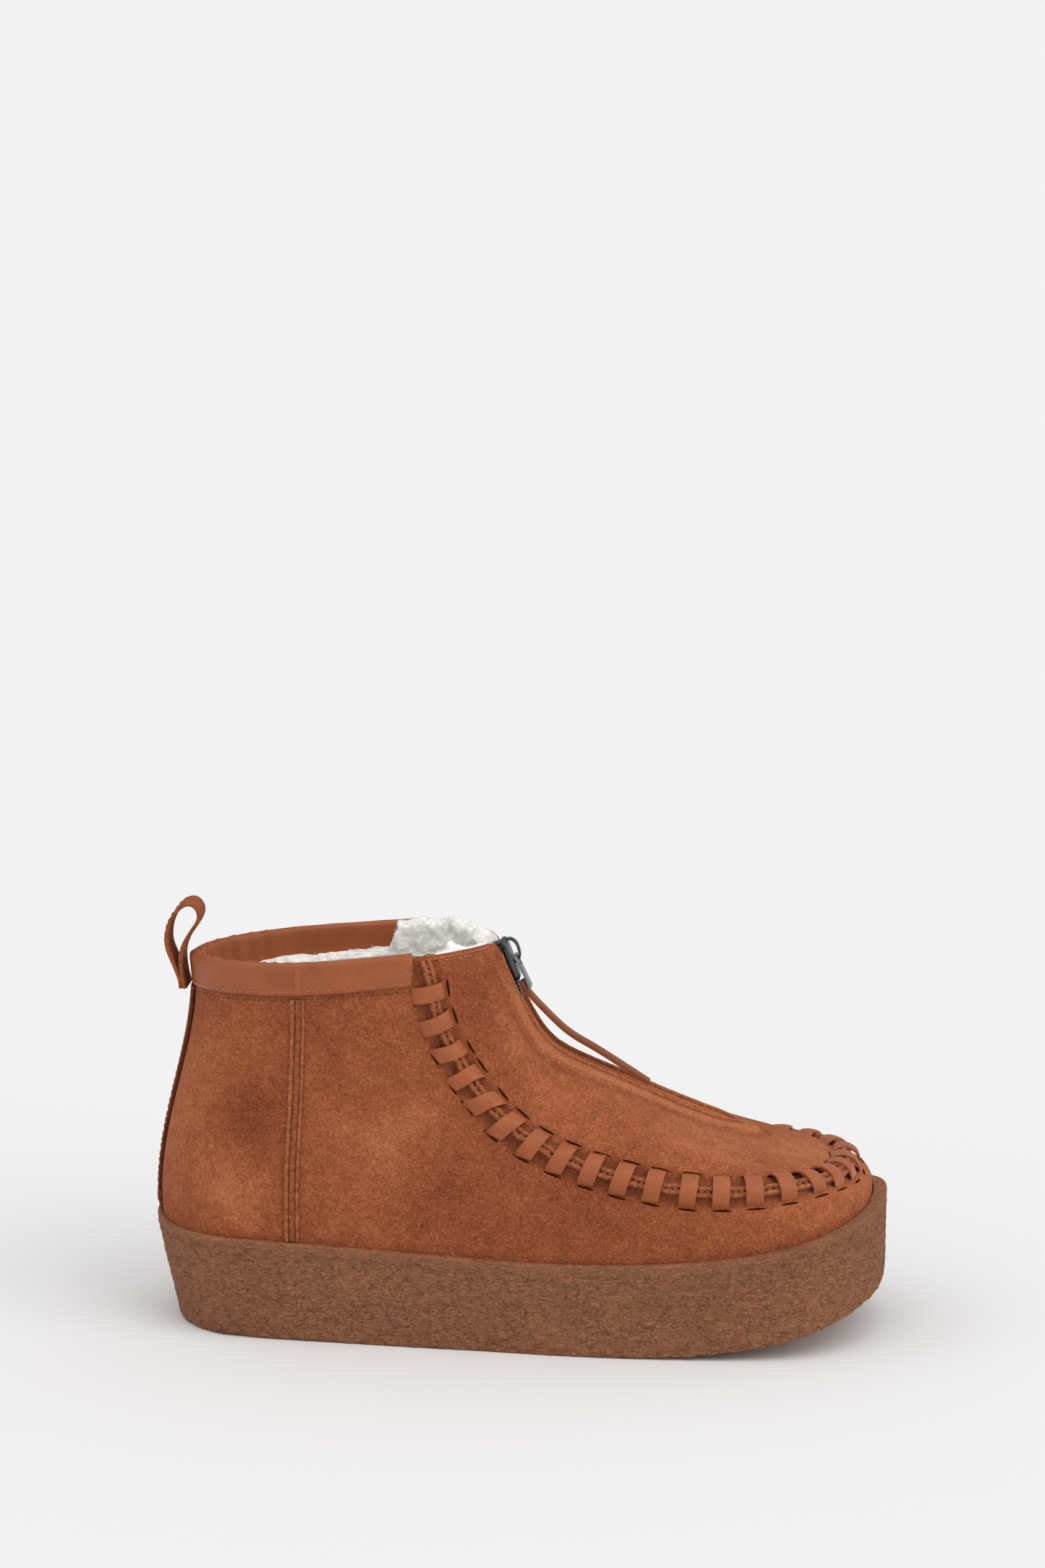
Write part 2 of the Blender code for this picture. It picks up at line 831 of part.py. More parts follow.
def build_side_seam(side, look):
    """Raised seam up the quarter from the sole to under the collar's band."""
    mesh = bmesh.new()
    rib = cached_rib(side_seam_place(side, 1.0))
    length = (rib[3] - rib[0]).length
    top = 1.0 - (BAND_OUTSIDE + 1.2 * MM) / length
    rings = []
    count = 12
    for i in range(count + 1):
        height = 0.02 + (top - 0.02) * i / count
        turn = side_seam_place(side, height)
        above = bare(side_seam_place(side, height + 0.01), height + 0.01)
        below = bare(side_seam_place(side, height - 0.01), height - 0.01)
        run = (above - below).normalized()
        rings.append(ridge_ring(turn, height, run, GAP, RIDGE_HEIGHT * 0.75))
    skin_rings(mesh, rings)
    return add_node("side_seam_" + side, mesh, look)


def build_back_stay(look):
    """Narrow strip down the back's middle line under the loop."""
    mesh = bmesh.new()
    rib = cached_rib(0.0)
    length = (rib[3] - rib[0]).length
    top = 1.0 - (BAND_OUTSIDE + 1.2 * MM) / length
    rings = []
    count = 10
    for i in range(count + 1):
        height = 0.02 + (top - 0.02) * i / count
        ring = []
        for offset, out in ((-1, 0), (-0.5, 0), (0, 0), (0.5, 0), (1, 0), (1, 1), (0.5, 1), (0, 1), (-0.5, 1), (-1, 1)):
            place = walk(0.0, height, Vector((0, 1, 0)), offset * STAY_HALF)
            ring.append(upper_at(place[0], place[1], GAP + out * STAY_THICK))
        rings.append(ring)
    skin_rings(mesh, rings)
    return add_node("back_stay", mesh, look)


def ribbon(mesh, path, sideways, half_width, half_thick):
    """Flat strap that follows a path; sideways is its width's direction."""
    rings = []
    last = len(path) - 1
    for i, point in enumerate(path):
        before = path[max(0, i - 1)]
        after = path[min(last, i + 1)]
        run = (after - before).normalized()
        side = sideways[i] if isinstance(sideways, list) else sideways
        facing = run.cross(side).normalized()
        width = half_width[i] if isinstance(half_width, list) else half_width
        rings.append([
            point - side * width - facing * half_thick,
            point + side * width - facing * half_thick,
            point + side * width + facing * half_thick,
            point - side * width + facing * half_thick,
        ])
    skin_rings(mesh, rings)


def smooth_path(rows, count):
    """Even points on a smooth curve through x and z rows."""
    keyed = []
    run = 0.0
    for i, row in enumerate(rows):
        if i:
            run += math.dist(row, rows[i - 1])
        keyed.append((run, row[0], row[1]))
    points = []
    for i in range(count + 1):
        at = run * i / count
        points.append((between(keyed, 1, at) * MM, between(keyed, 2, at) * MM))
    return points


def build_loop(look):
    mesh = bmesh.new()
    flat = smooth_path(LOOP_ROWS, 40)
    path = [Vector((x, 0.0, z)) for x, z in flat]
    ribbon(mesh, path, Vector((0, 1, 0)), STRAP_WIDTH / 2, STRAP_THICK / 2)
    return add_node("pull_loop", mesh, look)


def lace_places():
    """Middle of every lace bar, evenly spaced along the apron seam."""
    path, total = even_seam(1.0 * MM)
    count = LACE_COUNT
    last = len(path) - 1
    margin = 0.030
    places = []
    for i in range(count):
        share = margin + (1 - 2 * margin) * i / (count - 1)
        lean = between(LACE_LEAN_ROWS, 1, 1 - abs(2 * share - 1)) * MM
        places.append(path[int(round(share * last))] + (lean,))
    return places


def build_lace(index, place, look):
    """One leather bar over the ridge with both ends down on the suede."""
    mesh = bmesh.new()
    turn, height, run, lean = place
    facing, up = seam_frame(turn, height, run)
    crest = RIDGE_HEIGHT + SEAM_GAP + GAP
    profile = (
        (-1.00, SEAM_GAP),
        (-0.74, SEAM_GAP + 0.6 * MM),
        (-0.46, crest * 0.9),
        (-0.16, crest + GAP * 0.5),
        (0.16, crest + GAP * 0.5),
        (0.46, crest * 0.9),
        (0.74, SEAM_GAP + 0.6 * MM),
        (1.00, SEAM_GAP),
    )
    forward = max(-1.0, min(1.0, (1.0 - turn % 2.0) / 0.15))
    rings = []
    for offset, out in profile:
        centre = walk(turn, height, up, offset * LACE_REACH)
        slant = forward * lean * offset
        ring = []
        for edge, thick in ((-0.5, 0.0), (0.0, 0.0), (0.5, 0.0), (0.5, 1.0), (0.0, 1.0), (-0.5, 1.0)):
            spot = walk(centre[0], centre[1], run, edge * LACE_WIDTH + slant)
            ring.append(upper_at(spot[0], spot[1], out + thick * LACE_THICK))
        rings.append(ring)
    skin_rings(mesh, rings)
    return add_node("whip_lace_%02d" % index, mesh, look)


def front_frame(share):
    """Middle point, run and outward direction on the zip's line."""
    left = top_line("medial", 1.0 + share)
    right = top_line("lateral", 1.0 + share)
    middle = (left + right) / 2
    run = front_direction(1.0 + max(0.01, share))
    across = Vector((0, 1, 0))
    facing = run.cross(across).normalized()
    if facing.z < 0:
        facing = -facing
    return middle, run, facing


def zip_turn(side, place):
    """Turn of the rib whose top end is at a place on the top line."""
    low = 0.0
    high = 1.0
    for _ in range(40):
        middle = (low + high) / 2
        if between(RIB_ROWS, 1, middle) < place:
            low = middle
        else:
            high = middle
    return low if side == "lateral" else 2.0 - low


def last_open_share():
    """Share of the front line at the last rib whose two sides stay apart."""
    shares = [between(RIB_ROWS, 1, edge) - 1.0 for edge in rib_edges()]
    return max(share for share in shares if share < ZIP_END)


def build_zip_chain(look):
    """Teeth in the slit on a tape that lies under the suede on both sides."""
    mesh = bmesh.new()
    rings = []
    count = 26
    stop = last_open_share() - 0.004
    for i in range(count + 1):
        share = ZIP_START + (stop - ZIP_START) * i / count
        middle, run, facing = front_frame(share)
        half = (top_line("medial", 1.0 + share) - middle).length
        across = Vector((0, 1, 0))
        teeth = min(CHAIN_HALF, half - GAP)
        deep = -(WALL + TAPE_GAP)
        floor = deep - TAPE_THICK
        wings = {}
        for side, sign in (("lateral", -1.0), ("medial", 1.0)):
            turn = zip_turn(side, 1.0 + share)
            place = walk(turn, 1.0, across * sign, TAPE_WING)
            wings[side] = [upper_at(place[0], place[1], out) for out in (floor, deep)]
        rings.append([
            wings["lateral"][0],
            middle - across * teeth + facing * floor,
            middle + across * teeth + facing * floor,
            wings["medial"][0],
            wings["medial"][1],
            middle + across * teeth + facing * deep,
            middle + across * teeth + facing * CHAIN_TOP,
            middle - across * teeth + facing * CHAIN_TOP,
            middle - across * teeth + facing * deep,
            wings["lateral"][1],
        ])
    skin_rings(mesh, rings)
    return add_node("zip_chain", mesh, look)


def slider_frame():
    """Corner of the collar, and the zip's run, outward and sideways directions."""
    start, _, _ = front_frame(0.0)
    end, _, _ = front_frame(0.14)
    run = (end - start).normalized()
    side = Vector((0.0, 1.0, 0.0))
    facing = run.cross(side).normalized()
    if facing.x < 0:
        facing = -facing
    side = facing.cross(run).normalized()
    return start, run, facing, side


def build_slider(look):
    """Slider of two plates on a post, with an arch that holds the tab's pin."""
    start, run, facing, side = slider_frame()

    def spot(along, out, sideways):
        return start + run * along + facing * out + side * sideways

    body = bmesh.new()
    rings = []
    for out, half, low, high in SLIDER_LEVELS:
        out = out * MM
        half = half * MM
        low = low * MM
        high = high * MM
        cut = min(half * 0.45, (high - low) * 0.3)
        rings.append([
            spot(low, out, -half + cut), spot(low + cut, out, -half),
            spot(high - cut, out, -half), spot(high, out, -half + cut),
            spot(high, out, half - cut), spot(high - cut, out, half),
            spot(low + cut, out, half), spot(low, out, half - cut),
        ])
    skin_rings(body, rings)
    slider = add_node("zip_slider", body, look)
    arch = bmesh.new()
    path = []
    for along, out in smooth_path(ARCH_ROWS, 16):
        path.append(spot(along, out, 0.0))
    ribbon(arch, path, side, ARCH_WIDTH / 2, ARCH_THICK / 2)
    cutter = add_node("zip_slider_arch", arch, look)
    bpy.ops.object.select_all(action="DESELECT")
    bpy.context.view_layer.objects.active = slider
    slider.select_set(True)
    join = slider.modifiers.new("Arch", "BOOLEAN")
    join.operation = "UNION"
    join.solver = "EXACT"
    join.object = cutter
    bpy.ops.object.modifier_apply(modifier=join.name)
    bpy.data.objects.remove(cutter, do_unlink=True)
    return slider


def tab_frame():
    """Pin's middle, and the resting tab's run, outward and sideways directions."""
    start, run, facing, side = slider_frame()
    pin = start + run * PIN_ALONG + facing * PIN_OUT
    tilt = math.radians(TAB_TILT)
    along = run * math.cos(tilt) + facing * math.sin(tilt)
    out = facing * math.cos(tilt) - run * math.sin(tilt)
    return pin, along, out, side


def build_tab(look):
    """Flat pull tab whose end bar lies under the slider's arch."""
    pin, along, out, side = tab_frame()
    mesh = bmesh.new()
    columns = []
    for reach, half, slot in TAB_ROWS:
        slot = slot if slot > 0 else 1.45
        levels = []
        for lift in (-0.5, 0.5):
            row = []
            for sideways in (-half, -slot, slot, half):
                point = pin + along * reach * MM + side * sideways * MM + out * lift * TAB_THICK
                row.append(mesh.verts.new(point))
            levels.append(row)
        columns.append(levels)
    last = len(columns) - 1
    for i in range(last):
        here, after = columns[i], columns[i + 1]
        hole = TAB_ROWS[i][2] > 0 and TAB_ROWS[i + 1][2] > 0
        for cell in range(3):
            if hole and cell == 1:
                continue
            for level in (0, 1):
                mesh.faces.new((here[level][cell], here[level][cell + 1], after[level][cell + 1], after[level][cell]))
        for cell in (0, 3):
            mesh.faces.new((here[0][cell], after[0][cell], after[1][cell], here[1][cell]))
        if hole:
            for cell in (1, 2):
                mesh.faces.new((here[0][cell], after[0][cell], after[1][cell], here[1][cell]))
            for end in (here, after):
                before_open = end is here and i > 0 and TAB_ROWS[i - 1][2] == 0
                after_open = end is after and TAB_ROWS[min(last, i + 2)][2] == 0
                if before_open or after_open:
                    mesh.faces.new((end[0][1], end[0][2], end[1][2], end[1][1]))
    for end in (columns[0], columns[-1]):
        for cell in range(3):
            mesh.faces.new((end[0][cell], end[0][cell + 1], end[1][cell + 1], end[1][cell]))
    return add_node("zip_tab", mesh, look)


def build_tab_strap(look):
    """Leather strap that hangs from the tab along the instep."""
    mesh = bmesh.new()
    middle, _, _ = front_frame(0.1)
    path = [Vector((x, middle.y, z)) for x, z in smooth_path(TAB_STRAP_ROWS, 22)]
    ribbon(mesh, path, Vector((0, 1, 0)), TAB_STRAP_WIDTH / 2, TAB_STRAP_THICK / 2)
    return add_node("zip_strap", mesh, look)


def main():
    for item in list(bpy.data.objects):
        bpy.data.objects.remove(item, do_unlink=True)
    home = bpy.data.collections.new(HOME)
    bpy.context.scene.collection.children.link(home)
    suede = material("suede nap", 0.9)
    leather = material("leather smooth", 0.5)
    crepe = material("crepe rubber", 0.8)
    fleece = material("fleece board", 0.95)
    metal = material("gunmetal zip", 0.35, 1.0)
    tape = material("tape weave", 0.8)
    build_outsole(crepe)
    build_insole(fleece)
    build_upper(suede)
    build_band(leather)
    build_apron_seam(suede)
    build_side_seam("lateral", suede)
    build_side_seam("medial", suede)
    build_back_stay(suede)
    build_loop(suede)
    build_zip_chain(tape)
    build_slider(metal)
    build_tab(metal)
    build_tab_strap(leather)
    for index, place in enumerate(lace_places(), start=1):
        build_lace(index, place, leather)


main()
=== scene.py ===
"""Looks of the fur-lined ankle boot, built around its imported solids.

Run as a script it dresses every solid and sets the studio. Lengths are in metres, and the tables'
lengths in millimetres. +X runs to the toe, +Y to the boot's inner side and +Z up.
"""
import math
import random

import bmesh
import bpy
import numpy as np
from bpy.props import FloatProperty, FloatVectorProperty, PointerProperty
from mathutils import Matrix, Vector, noise
from mathutils.bvhtree import BVHTree
from mathutils.kdtree import KDTree


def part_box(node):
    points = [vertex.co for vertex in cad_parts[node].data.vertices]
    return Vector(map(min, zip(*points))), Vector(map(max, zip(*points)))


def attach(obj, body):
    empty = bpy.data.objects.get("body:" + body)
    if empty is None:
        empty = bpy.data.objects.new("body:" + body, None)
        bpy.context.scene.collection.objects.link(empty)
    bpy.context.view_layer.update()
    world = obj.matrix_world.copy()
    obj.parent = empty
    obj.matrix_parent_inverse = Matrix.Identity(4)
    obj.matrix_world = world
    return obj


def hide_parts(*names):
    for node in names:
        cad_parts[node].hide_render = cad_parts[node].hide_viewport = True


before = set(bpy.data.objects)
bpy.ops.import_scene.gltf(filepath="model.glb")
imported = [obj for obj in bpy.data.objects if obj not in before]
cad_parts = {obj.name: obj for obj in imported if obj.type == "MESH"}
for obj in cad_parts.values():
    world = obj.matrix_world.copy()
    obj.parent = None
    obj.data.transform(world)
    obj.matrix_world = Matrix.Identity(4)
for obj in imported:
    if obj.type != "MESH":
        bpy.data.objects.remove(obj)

bl_info = {
    "name": "Ankle boot",
    "version": (1, 0, 0),
    "blender": (4, 5, 0),
    "location": "View3D > Sidebar > Boot",
    "description": "Dresses the solids of a fur-lined ankle boot",
    "category": "Object",
}

MM = 0.001
SEED = 7
MERGE = 0.00002
BOOT = "boot"
PULL = "zip_pull"
LACES = sorted(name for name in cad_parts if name.startswith("whip_lace"))

# Camera of the photograph: place, way it looks, and focal length on a 36 mm high frame.
CAMERA_PLACE = (0.1492, -1.70539, 0.55623)
CAMERA_WAY = (-0.0849, 0.97626, -0.19928)
CAMERA_LENS = 107.05
BACKDROP_LEVEL = 0.896

# Apron seam of the outer side on the upper, from the collar to the toe's middle.
SEAM_ROWS = (
    # x mm, y mm, z mm
    (-34.7, -27.7, 147.6),
    (-32.6, -27.7, 138.8),
    (-29.9, -27.9, 125.1),
    (-25.0, -26.7, 113.1),
    (-18.1, -26.5, 101.1),
    (-9.3, -29.9, 90.9),
    (1.1, -32.9, 82.0),
    (13.3, -34.9, 75.4),
    (30.1, -37.5, 69.7),
    (48.5, -39.8, 65.7),
    (66.4, -40.4, 63.5),
    (85.3, -38.9, 63.3),
    (102.0, -32.8, 63.9),
    (115.5, -19.6, 63.6),
    (121.7, -7.1, 62.9),
    (124.0, 6.7, 62.4),
)
# Rim of the upper: half of the collar, then one edge of the front down to the zip's end.
RIM_ROWS = (
    # x mm, y mm outer side, y mm inner side, z mm, mm of bare wall on the outer side and on the inner
    (-124.6, 0.0, 0.0, 140.2, 8.6, 8.6),
    (-121.5, -10.0, 10.2, 140.6, 8.6, 8.6),
    (-113.7, -19.2, 19.5, 141.1, 8.6, 8.6),
    (-100.0, -27.2, 28.0, 142.0, 8.6, 8.6),
    (-84.6, -31.0, 32.3, 143.0, 8.6, 8.6),
    (-66.0, -31.8, 34.0, 144.7, 8.4, 8.4),
    (-53.5, -30.9, 33.6, 145.7, 8.0, 8.0),
    (-48.4, -30.4, 33.3, 146.2, 8.0, 0.3),
    (-37.5, -28.4, 32.0, 147.3, 7.0, 0.1),
    (-33.5, -27.4, 31.1, 147.7, 1.0, 0.1),
    (-19.5, -20.0, 25.1, 148.8, 0.5, 0.1),
    (-11.4, -8.2, 14.7, 148.7, 1.5, 1.0),
    (-8.2, 0.1, 7.9, 148.4, 4.0, 4.0),
    (-3.9, 0.2, 8.0, 136.8, 8.0, 8.0),
    (1.2, 0.7, 7.7, 123.9, 8.0, 8.0),
    (7.6, 1.4, 7.5, 111.7, 8.0, 8.0),
    (17.5, 2.0, 7.6, 103.4, 8.0, 8.0),
    (41.1, 3.4, 8.6, 92.8, 8.0, 8.0),
    (68.2, 5.1, 10.4, 81.0, 6.0, 6.0),
    (83.1, 8.8, 8.8, 75.9, 3.0, 3.0),
)
COLLAR_COUNT = 9
FRONT_START = 12
SIDE_SEAM_ROWS = (
    # x mm, y mm outer side, y mm inner side, z mm
    (-81.6, -38.1, 33.6, 40.0),
    (-81.3, -38.2, 34.8, 65.8),
    (-80.2, -36.1, 34.9, 92.0),
    (-79.6, -33.1, 33.8, 117.7),
    (-79.5, -31.7, 33.3, 131.2),
)
LOOP_ROWS = (
    # x mm, z mm of the loop's outer face, from its back foot over the top
    (-129.9, 131.4),
    (-131.2, 135.4),
    (-133.0, 139.8),
    (-134.6, 144.3),
    (-134.6, 148.7),
    (-133.4, 152.8),
    (-130.8, 157.6),
    (-127.5, 160.9),
    (-124.3, 161.6),
    (-121.2, 159.2),
)
CREASE_ROWS = (
    # from x, y, z mm, to x, y, z mm, half-width mm, depth mm (negative for a ridge)
    (-26.0, -30.0, 106.0, -64.0, -37.0, 84.0, 8.0, 0.9),
    (-20.0, -31.0, 95.0, -60.0, -38.0, 68.0, 8.0, -0.8),
    (-4.0, -37.0, 74.0, -44.0, -40.0, 54.0, 8.0, 0.8),
    (-92.0, -36.0, 96.0, -118.0, -27.0, 74.0, 9.0, 0.8),
    (-96.0, -38.0, 76.0, -122.0, -22.0, 56.0, 9.0, -1.0),
    (-112.0, -30.0, 112.0, -100.0, -34.0, 88.0, 7.0, 0.5),
    (-64.0, -34.0, 126.0, -50.0, -34.0, 100.0, 9.0, -0.5),
    (-18.0, -16.0, 128.0, -2.0, -24.0, 100.0, 6.0, 0.8),
    (-8.0, -10.0, 122.0, 12.0, -22.0, 96.0, 6.0, -0.7),
    (14.0, -12.0, 99.0, 34.0, -30.0, 76.0, 7.0, 0.6),
    (60.0, -20.0, 77.0, 96.0, -22.0, 68.0, 6.0, 0.5),
    (84.0, -4.0, 76.0, 108.0, -16.0, 67.0, 6.0, -0.4),
    (-24.0, 31.0, 108.0, -62.0, 36.0, 82.0, 8.0, 0.9),
    (-16.0, 32.0, 94.0, -56.0, 37.0, 66.0, 8.0, -0.8),
    (-90.0, 35.0, 98.0, -116.0, 27.0, 72.0, 9.0, 0.8),
    (-6.0, 26.0, 118.0, 10.0, 32.0, 92.0, 6.0, 0.7),
    (18.0, 22.0, 96.0, 40.0, 34.0, 74.0, 7.0, 0.6),
    (62.0, 28.0, 76.0, 98.0, 26.0, 68.0, 6.0, 0.5),
)
NAP_LIGHT_AND_SHADE_ROWS = (
    # x mm, y mm, z mm, radius mm, lift of the suede's tone. The rows hold brushed nap patches and painted light and
    # shade: a lighter heel and toe, and a darker low wall above the sole
    (-122.0, -14.0, 84.0, 20.0, 0.50),
    (-104.0, -34.0, 56.0, 13.0, 0.60),
    (-96.0, -36.0, 84.0, 16.0, -0.45),
    (-112.0, -26.0, 112.0, 14.0, 0.20),
    (-62.0, -35.0, 118.0, 18.0, -0.25),
    (-46.0, -36.0, 84.0, 20.0, 0.10),
    (-44.0, -34.0, 62.0, 14.0, 0.20),
    (-24.0, -40.0, 60.0, 18.0, -0.40),
    (14.0, -44.0, 52.0, 22.0, -0.35),
    (52.0, -46.0, 52.0, 20.0, -0.30),
    (22.0, -22.0, 92.0, 20.0, 0.25),
    (74.0, -20.0, 76.0, 20.0, 0.50),
    (114.0, 0.0, 60.0, 24.0, 0.60),
    (-20.0, -20.0, 132.0, 16.0, -0.35),
    (-100.0, 34.0, 66.0, 18.0, 0.40),
    (-56.0, 38.0, 70.0, 20.0, -0.30),
    (-50.0, 35.0, 112.0, 18.0, 0.20),
    (20.0, 44.0, 56.0, 20.0, -0.30),
    (40.0, 24.0, 86.0, 18.0, 0.25),
    (-128.0, 0.0, 66.0, 14.0, 0.30),
)


class BootSizes(bpy.types.PropertyGroup):
    """Sizes of the boot's fine detail."""

    pile: FloatProperty(
        name="Pile", description="Depth of the fleece lining", default=0.0056, unit="LENGTH"
    )
    fibre: FloatProperty(
        name="Fibre", description="Length of a loose fleece fibre", default=0.0028, unit="LENGTH"
    )
    pucker: FloatProperty(
        name="Pucker", description="Depth of the dips beside the apron ridge", default=0.0009, unit="LENGTH"
    )
    ridge_width: FloatProperty(
        name="Ridge width", description="Width of the apron ridge", default=0.0042, unit="LENGTH"
    )
    ridge_height: FloatProperty(
        name="Ridge height", description="Height of the apron ridge", default=0.0027, unit="LENGTH"
    )
    lace_sink: FloatProperty(
        name="Lace sink", description="How far a lace's ends go down into their slits", default=0.0019, unit="LENGTH"
    )
    slit_length: FloatProperty(
        name="Slit length", description="Length of a lace's slit", default=0.0074, unit="LENGTH"
    )
    slit_width: FloatProperty(
        name="Slit width", description="Width of a lace's slit", default=0.0009, unit="LENGTH"
    )
    stitch: FloatProperty(
        name="Stitch", description="Length of a stitch", default=0.0019, unit="LENGTH"
    )
    stitch_pitch: FloatProperty(
        name="Stitch pitch", description="Length from stitch to stitch", default=0.0027, unit="LENGTH"
    )
    thread: FloatProperty(
        name="Thread", description="Radius of the thread", default=0.00027, unit="LENGTH"
    )
    crepe_relief: FloatProperty(
        name="Crepe relief", description="Height of the sole's crepe texture", default=0.0004, unit="LENGTH"
    )
    tooth_pitch: FloatProperty(
        name="Tooth pitch", description="Length from zip tooth to zip tooth", default=0.0014, unit="LENGTH"
    )


def colour_property(name, description, value):
    """Property for one colour of the boot."""
    return FloatVectorProperty(
        name=name, description=description, default=value, size=3, min=0.0, max=1.0, subtype="COLOR"
    )


class BootColours(bpy.types.PropertyGroup):
    """Colours of the boot's materials."""

    suede: colour_property("Suede", "Middle tone of the suede", (0.335, 0.092, 0.036))
    # The light and dark suede tones are also the ends that the suede's painted light and shade reach.
    suede_light: colour_property("Suede light", "Nap brushed light", (0.52, 0.176, 0.074))
    suede_dark: colour_property("Suede dark", "Nap brushed dark", (0.188, 0.045, 0.018))
    leather: colour_property("Leather", "Smooth leather", (0.350, 0.094, 0.029))
    leather_dark: colour_property("Leather dark", "Leather in its pores", (0.200, 0.050, 0.016))
    raw_edge: colour_property("Raw edge", "Cut edges of the suede", (0.40, 0.125, 0.050))
    crepe: colour_property("Crepe", "Sole", (0.385, 0.160, 0.080))
    # The crepe's dark tone is painted shade in the sole's low places and folds.
    crepe_shade: colour_property("Crepe dark", "Low places of the sole's texture", (0.120, 0.040, 0.019))
    fleece: colour_property("Fleece", "Lining", (0.97, 0.94, 0.905))
    thread: colour_property("Thread", "Stitching", (0.40, 0.145, 0.058))
    # Its dark colour is painted shade for the row of stitch holes under the collar band.
    thread_hole_shade: colour_property("Hole shade thread", "Stitching under the collar band", (0.13, 0.045, 0.022))
    metal: colour_property("Gunmetal", "Zip slider and tab", (0.055, 0.055, 0.06))
    tab_metal: colour_property("Tab metal", "Worn metal of the tab", (0.17, 0.17, 0.18))
    tape: colour_property("Tape", "Zip tape", (0.15, 0.048, 0.020))
    floor: colour_property("Floor", "Studio floor", (0.86, 0.86, 0.86))


def put(tree, kind, inputs=None, **settings):
    """New node with its settings and its inputs, which are values or other nodes' sockets."""
    node = tree.nodes.new(kind)
    for key, value in settings.items():
        setattr(node, key, value)
    for key, value in (inputs or {}).items():
        if isinstance(value, bpy.types.NodeSocket):
            tree.links.new(value, node.inputs[key])
        else:
            node.inputs[key].default_value = value
    return node


def texture(tree, place, scale, detail=2.0, distortion=0.0):
    """Noise from 0 to 1 at a scale in waves per metre."""
    inputs = {"Vector": place, "Scale": scale, "Detail": detail, "Roughness": 0.55, "Distortion": distortion}
    return put(tree, "ShaderNodeTexNoise", inputs).outputs["Fac"]


def cells(tree, place, scale, feature="DISTANCE_TO_EDGE"):
    """Distance into the cells of a cell pattern."""
    node = put(tree, "ShaderNodeTexVoronoi", {"Vector": place, "Scale": scale}, feature=feature)
    return node.outputs["Distance"]


def spread(tree, value, low, high, to_low=0.0, to_high=1.0):
    """Value stretched from one range to another and held inside it."""
    inputs = {"Value": value, "From Min": low, "From Max": high, "To Min": to_low, "To Max": to_high}
    return put(tree, "ShaderNodeMapRange", inputs, clamp=True).outputs["Result"]


def blend_colour(tree, share, first, second, way="MIX"):
    """Mix of two colours by a share."""
    node = put(tree, "ShaderNodeMix", data_type="RGBA", blend_type=way)
    for socket, value in ((node.inputs[0], share), (node.inputs[6], first), (node.inputs[7], second)):
        if isinstance(value, bpy.types.NodeSocket):
            tree.links.new(value, socket)
        elif hasattr(value, "__len__"):
            socket.default_value = tuple(value)[:3] + (1.0,)
        else:
            socket.default_value = value
    return node.outputs[2]


def sums(tree, *terms):
    """Weighted sum of value sockets, from pairs of socket and weight."""
    total = None
    for socket, weight in terms:
        scaled = put(tree, "ShaderNodeMath", {0: socket, 1: weight}, operation="MULTIPLY").outputs[0]
        if total is None:
            total = scaled
        else:
            total = put(tree, "ShaderNodeMath", {0: total, 1: scaled}, operation="ADD").outputs[0]
    return total


def new_group(name, wants, gives):
    """Shader node group with named sockets. Gives the tree, its input node and its output node."""
    tree = bpy.data.node_groups.new(name, "ShaderNodeTree")
    for label, kind, value in wants:
        socket = tree.interface.new_socket(label, in_out="INPUT", socket_type=kind)
        socket.default_value = value
    for label, kind in gives:
        tree.interface.new_socket(label, in_out="OUTPUT", socket_type=kind)
    return tree, tree.nodes.new("NodeGroupInput"), tree.nodes.new("NodeGroupOutput")


def nap_group():
    """Brushed nap of suede: soft patches, mottling and fibres, as a colour and a height. Its Tone input also carries
    painted light and shade.
    """
    found = bpy.data.node_groups.get("Brushed nap")
    if found:
        return found
    wants = (
        ("Dark", "NodeSocketColor", (0.2, 0.05, 0.02, 1.0)),
        ("Middle", "NodeSocketColor", (0.3, 0.1, 0.04, 1.0)),
        ("Light", "NodeSocketColor", (0.5, 0.17, 0.07, 1.0)),
        ("Tone", "NodeSocketFloat", 0.0),
    )
    gives = (("Color", "NodeSocketColor"), ("Height", "NodeSocketFloat"))
    tree, source, result = new_group("Brushed nap", wants, gives)
    place = put(tree, "ShaderNodeTexCoord").outputs["Object"]
    patches = spread(tree, texture(tree, place, 30.0, 2.0, 0.8), 0.30, 0.70)
    mottle = spread(tree, texture(tree, place, 200.0, 3.0, 0.6), 0.32, 0.68)
    grain = spread(tree, texture(tree, place, 950.0, 2.0, 0.6), 0.32, 0.68)
    fibre = spread(tree, texture(tree, place, 2200.0, 2.0, 0.3), 0.30, 0.70)
    # Tone holds the piece's brushed nap patches and its painted light and shade.
    lift = (source.outputs["Tone"], 0.42)
    tone = sums(tree, (patches, 0.15), (mottle, 0.16), (grain, 0.31), (fibre, 0.25), lift)
    tone = spread(tree, tone, 0.08, 0.80)
    low = blend_colour(tree, spread(tree, tone, 0.0, 0.5), source.outputs["Dark"], source.outputs["Middle"])
    body = blend_colour(tree, spread(tree, tone, 0.5, 1.0), low, source.outputs["Light"])
    speck = texture(tree, place, 2700.0, 1.0)
    body = blend_colour(tree, spread(tree, speck, 0.66, 0.74, 0.0, 0.55), body, (0.86, 0.46, 0.25))
    tree.links.new(body, result.inputs["Color"])
    height = sums(tree, (grain, 0.75), (fibre, 0.45), (mottle, 0.6))
    tree.links.new(height, result.inputs["Height"])
    return tree


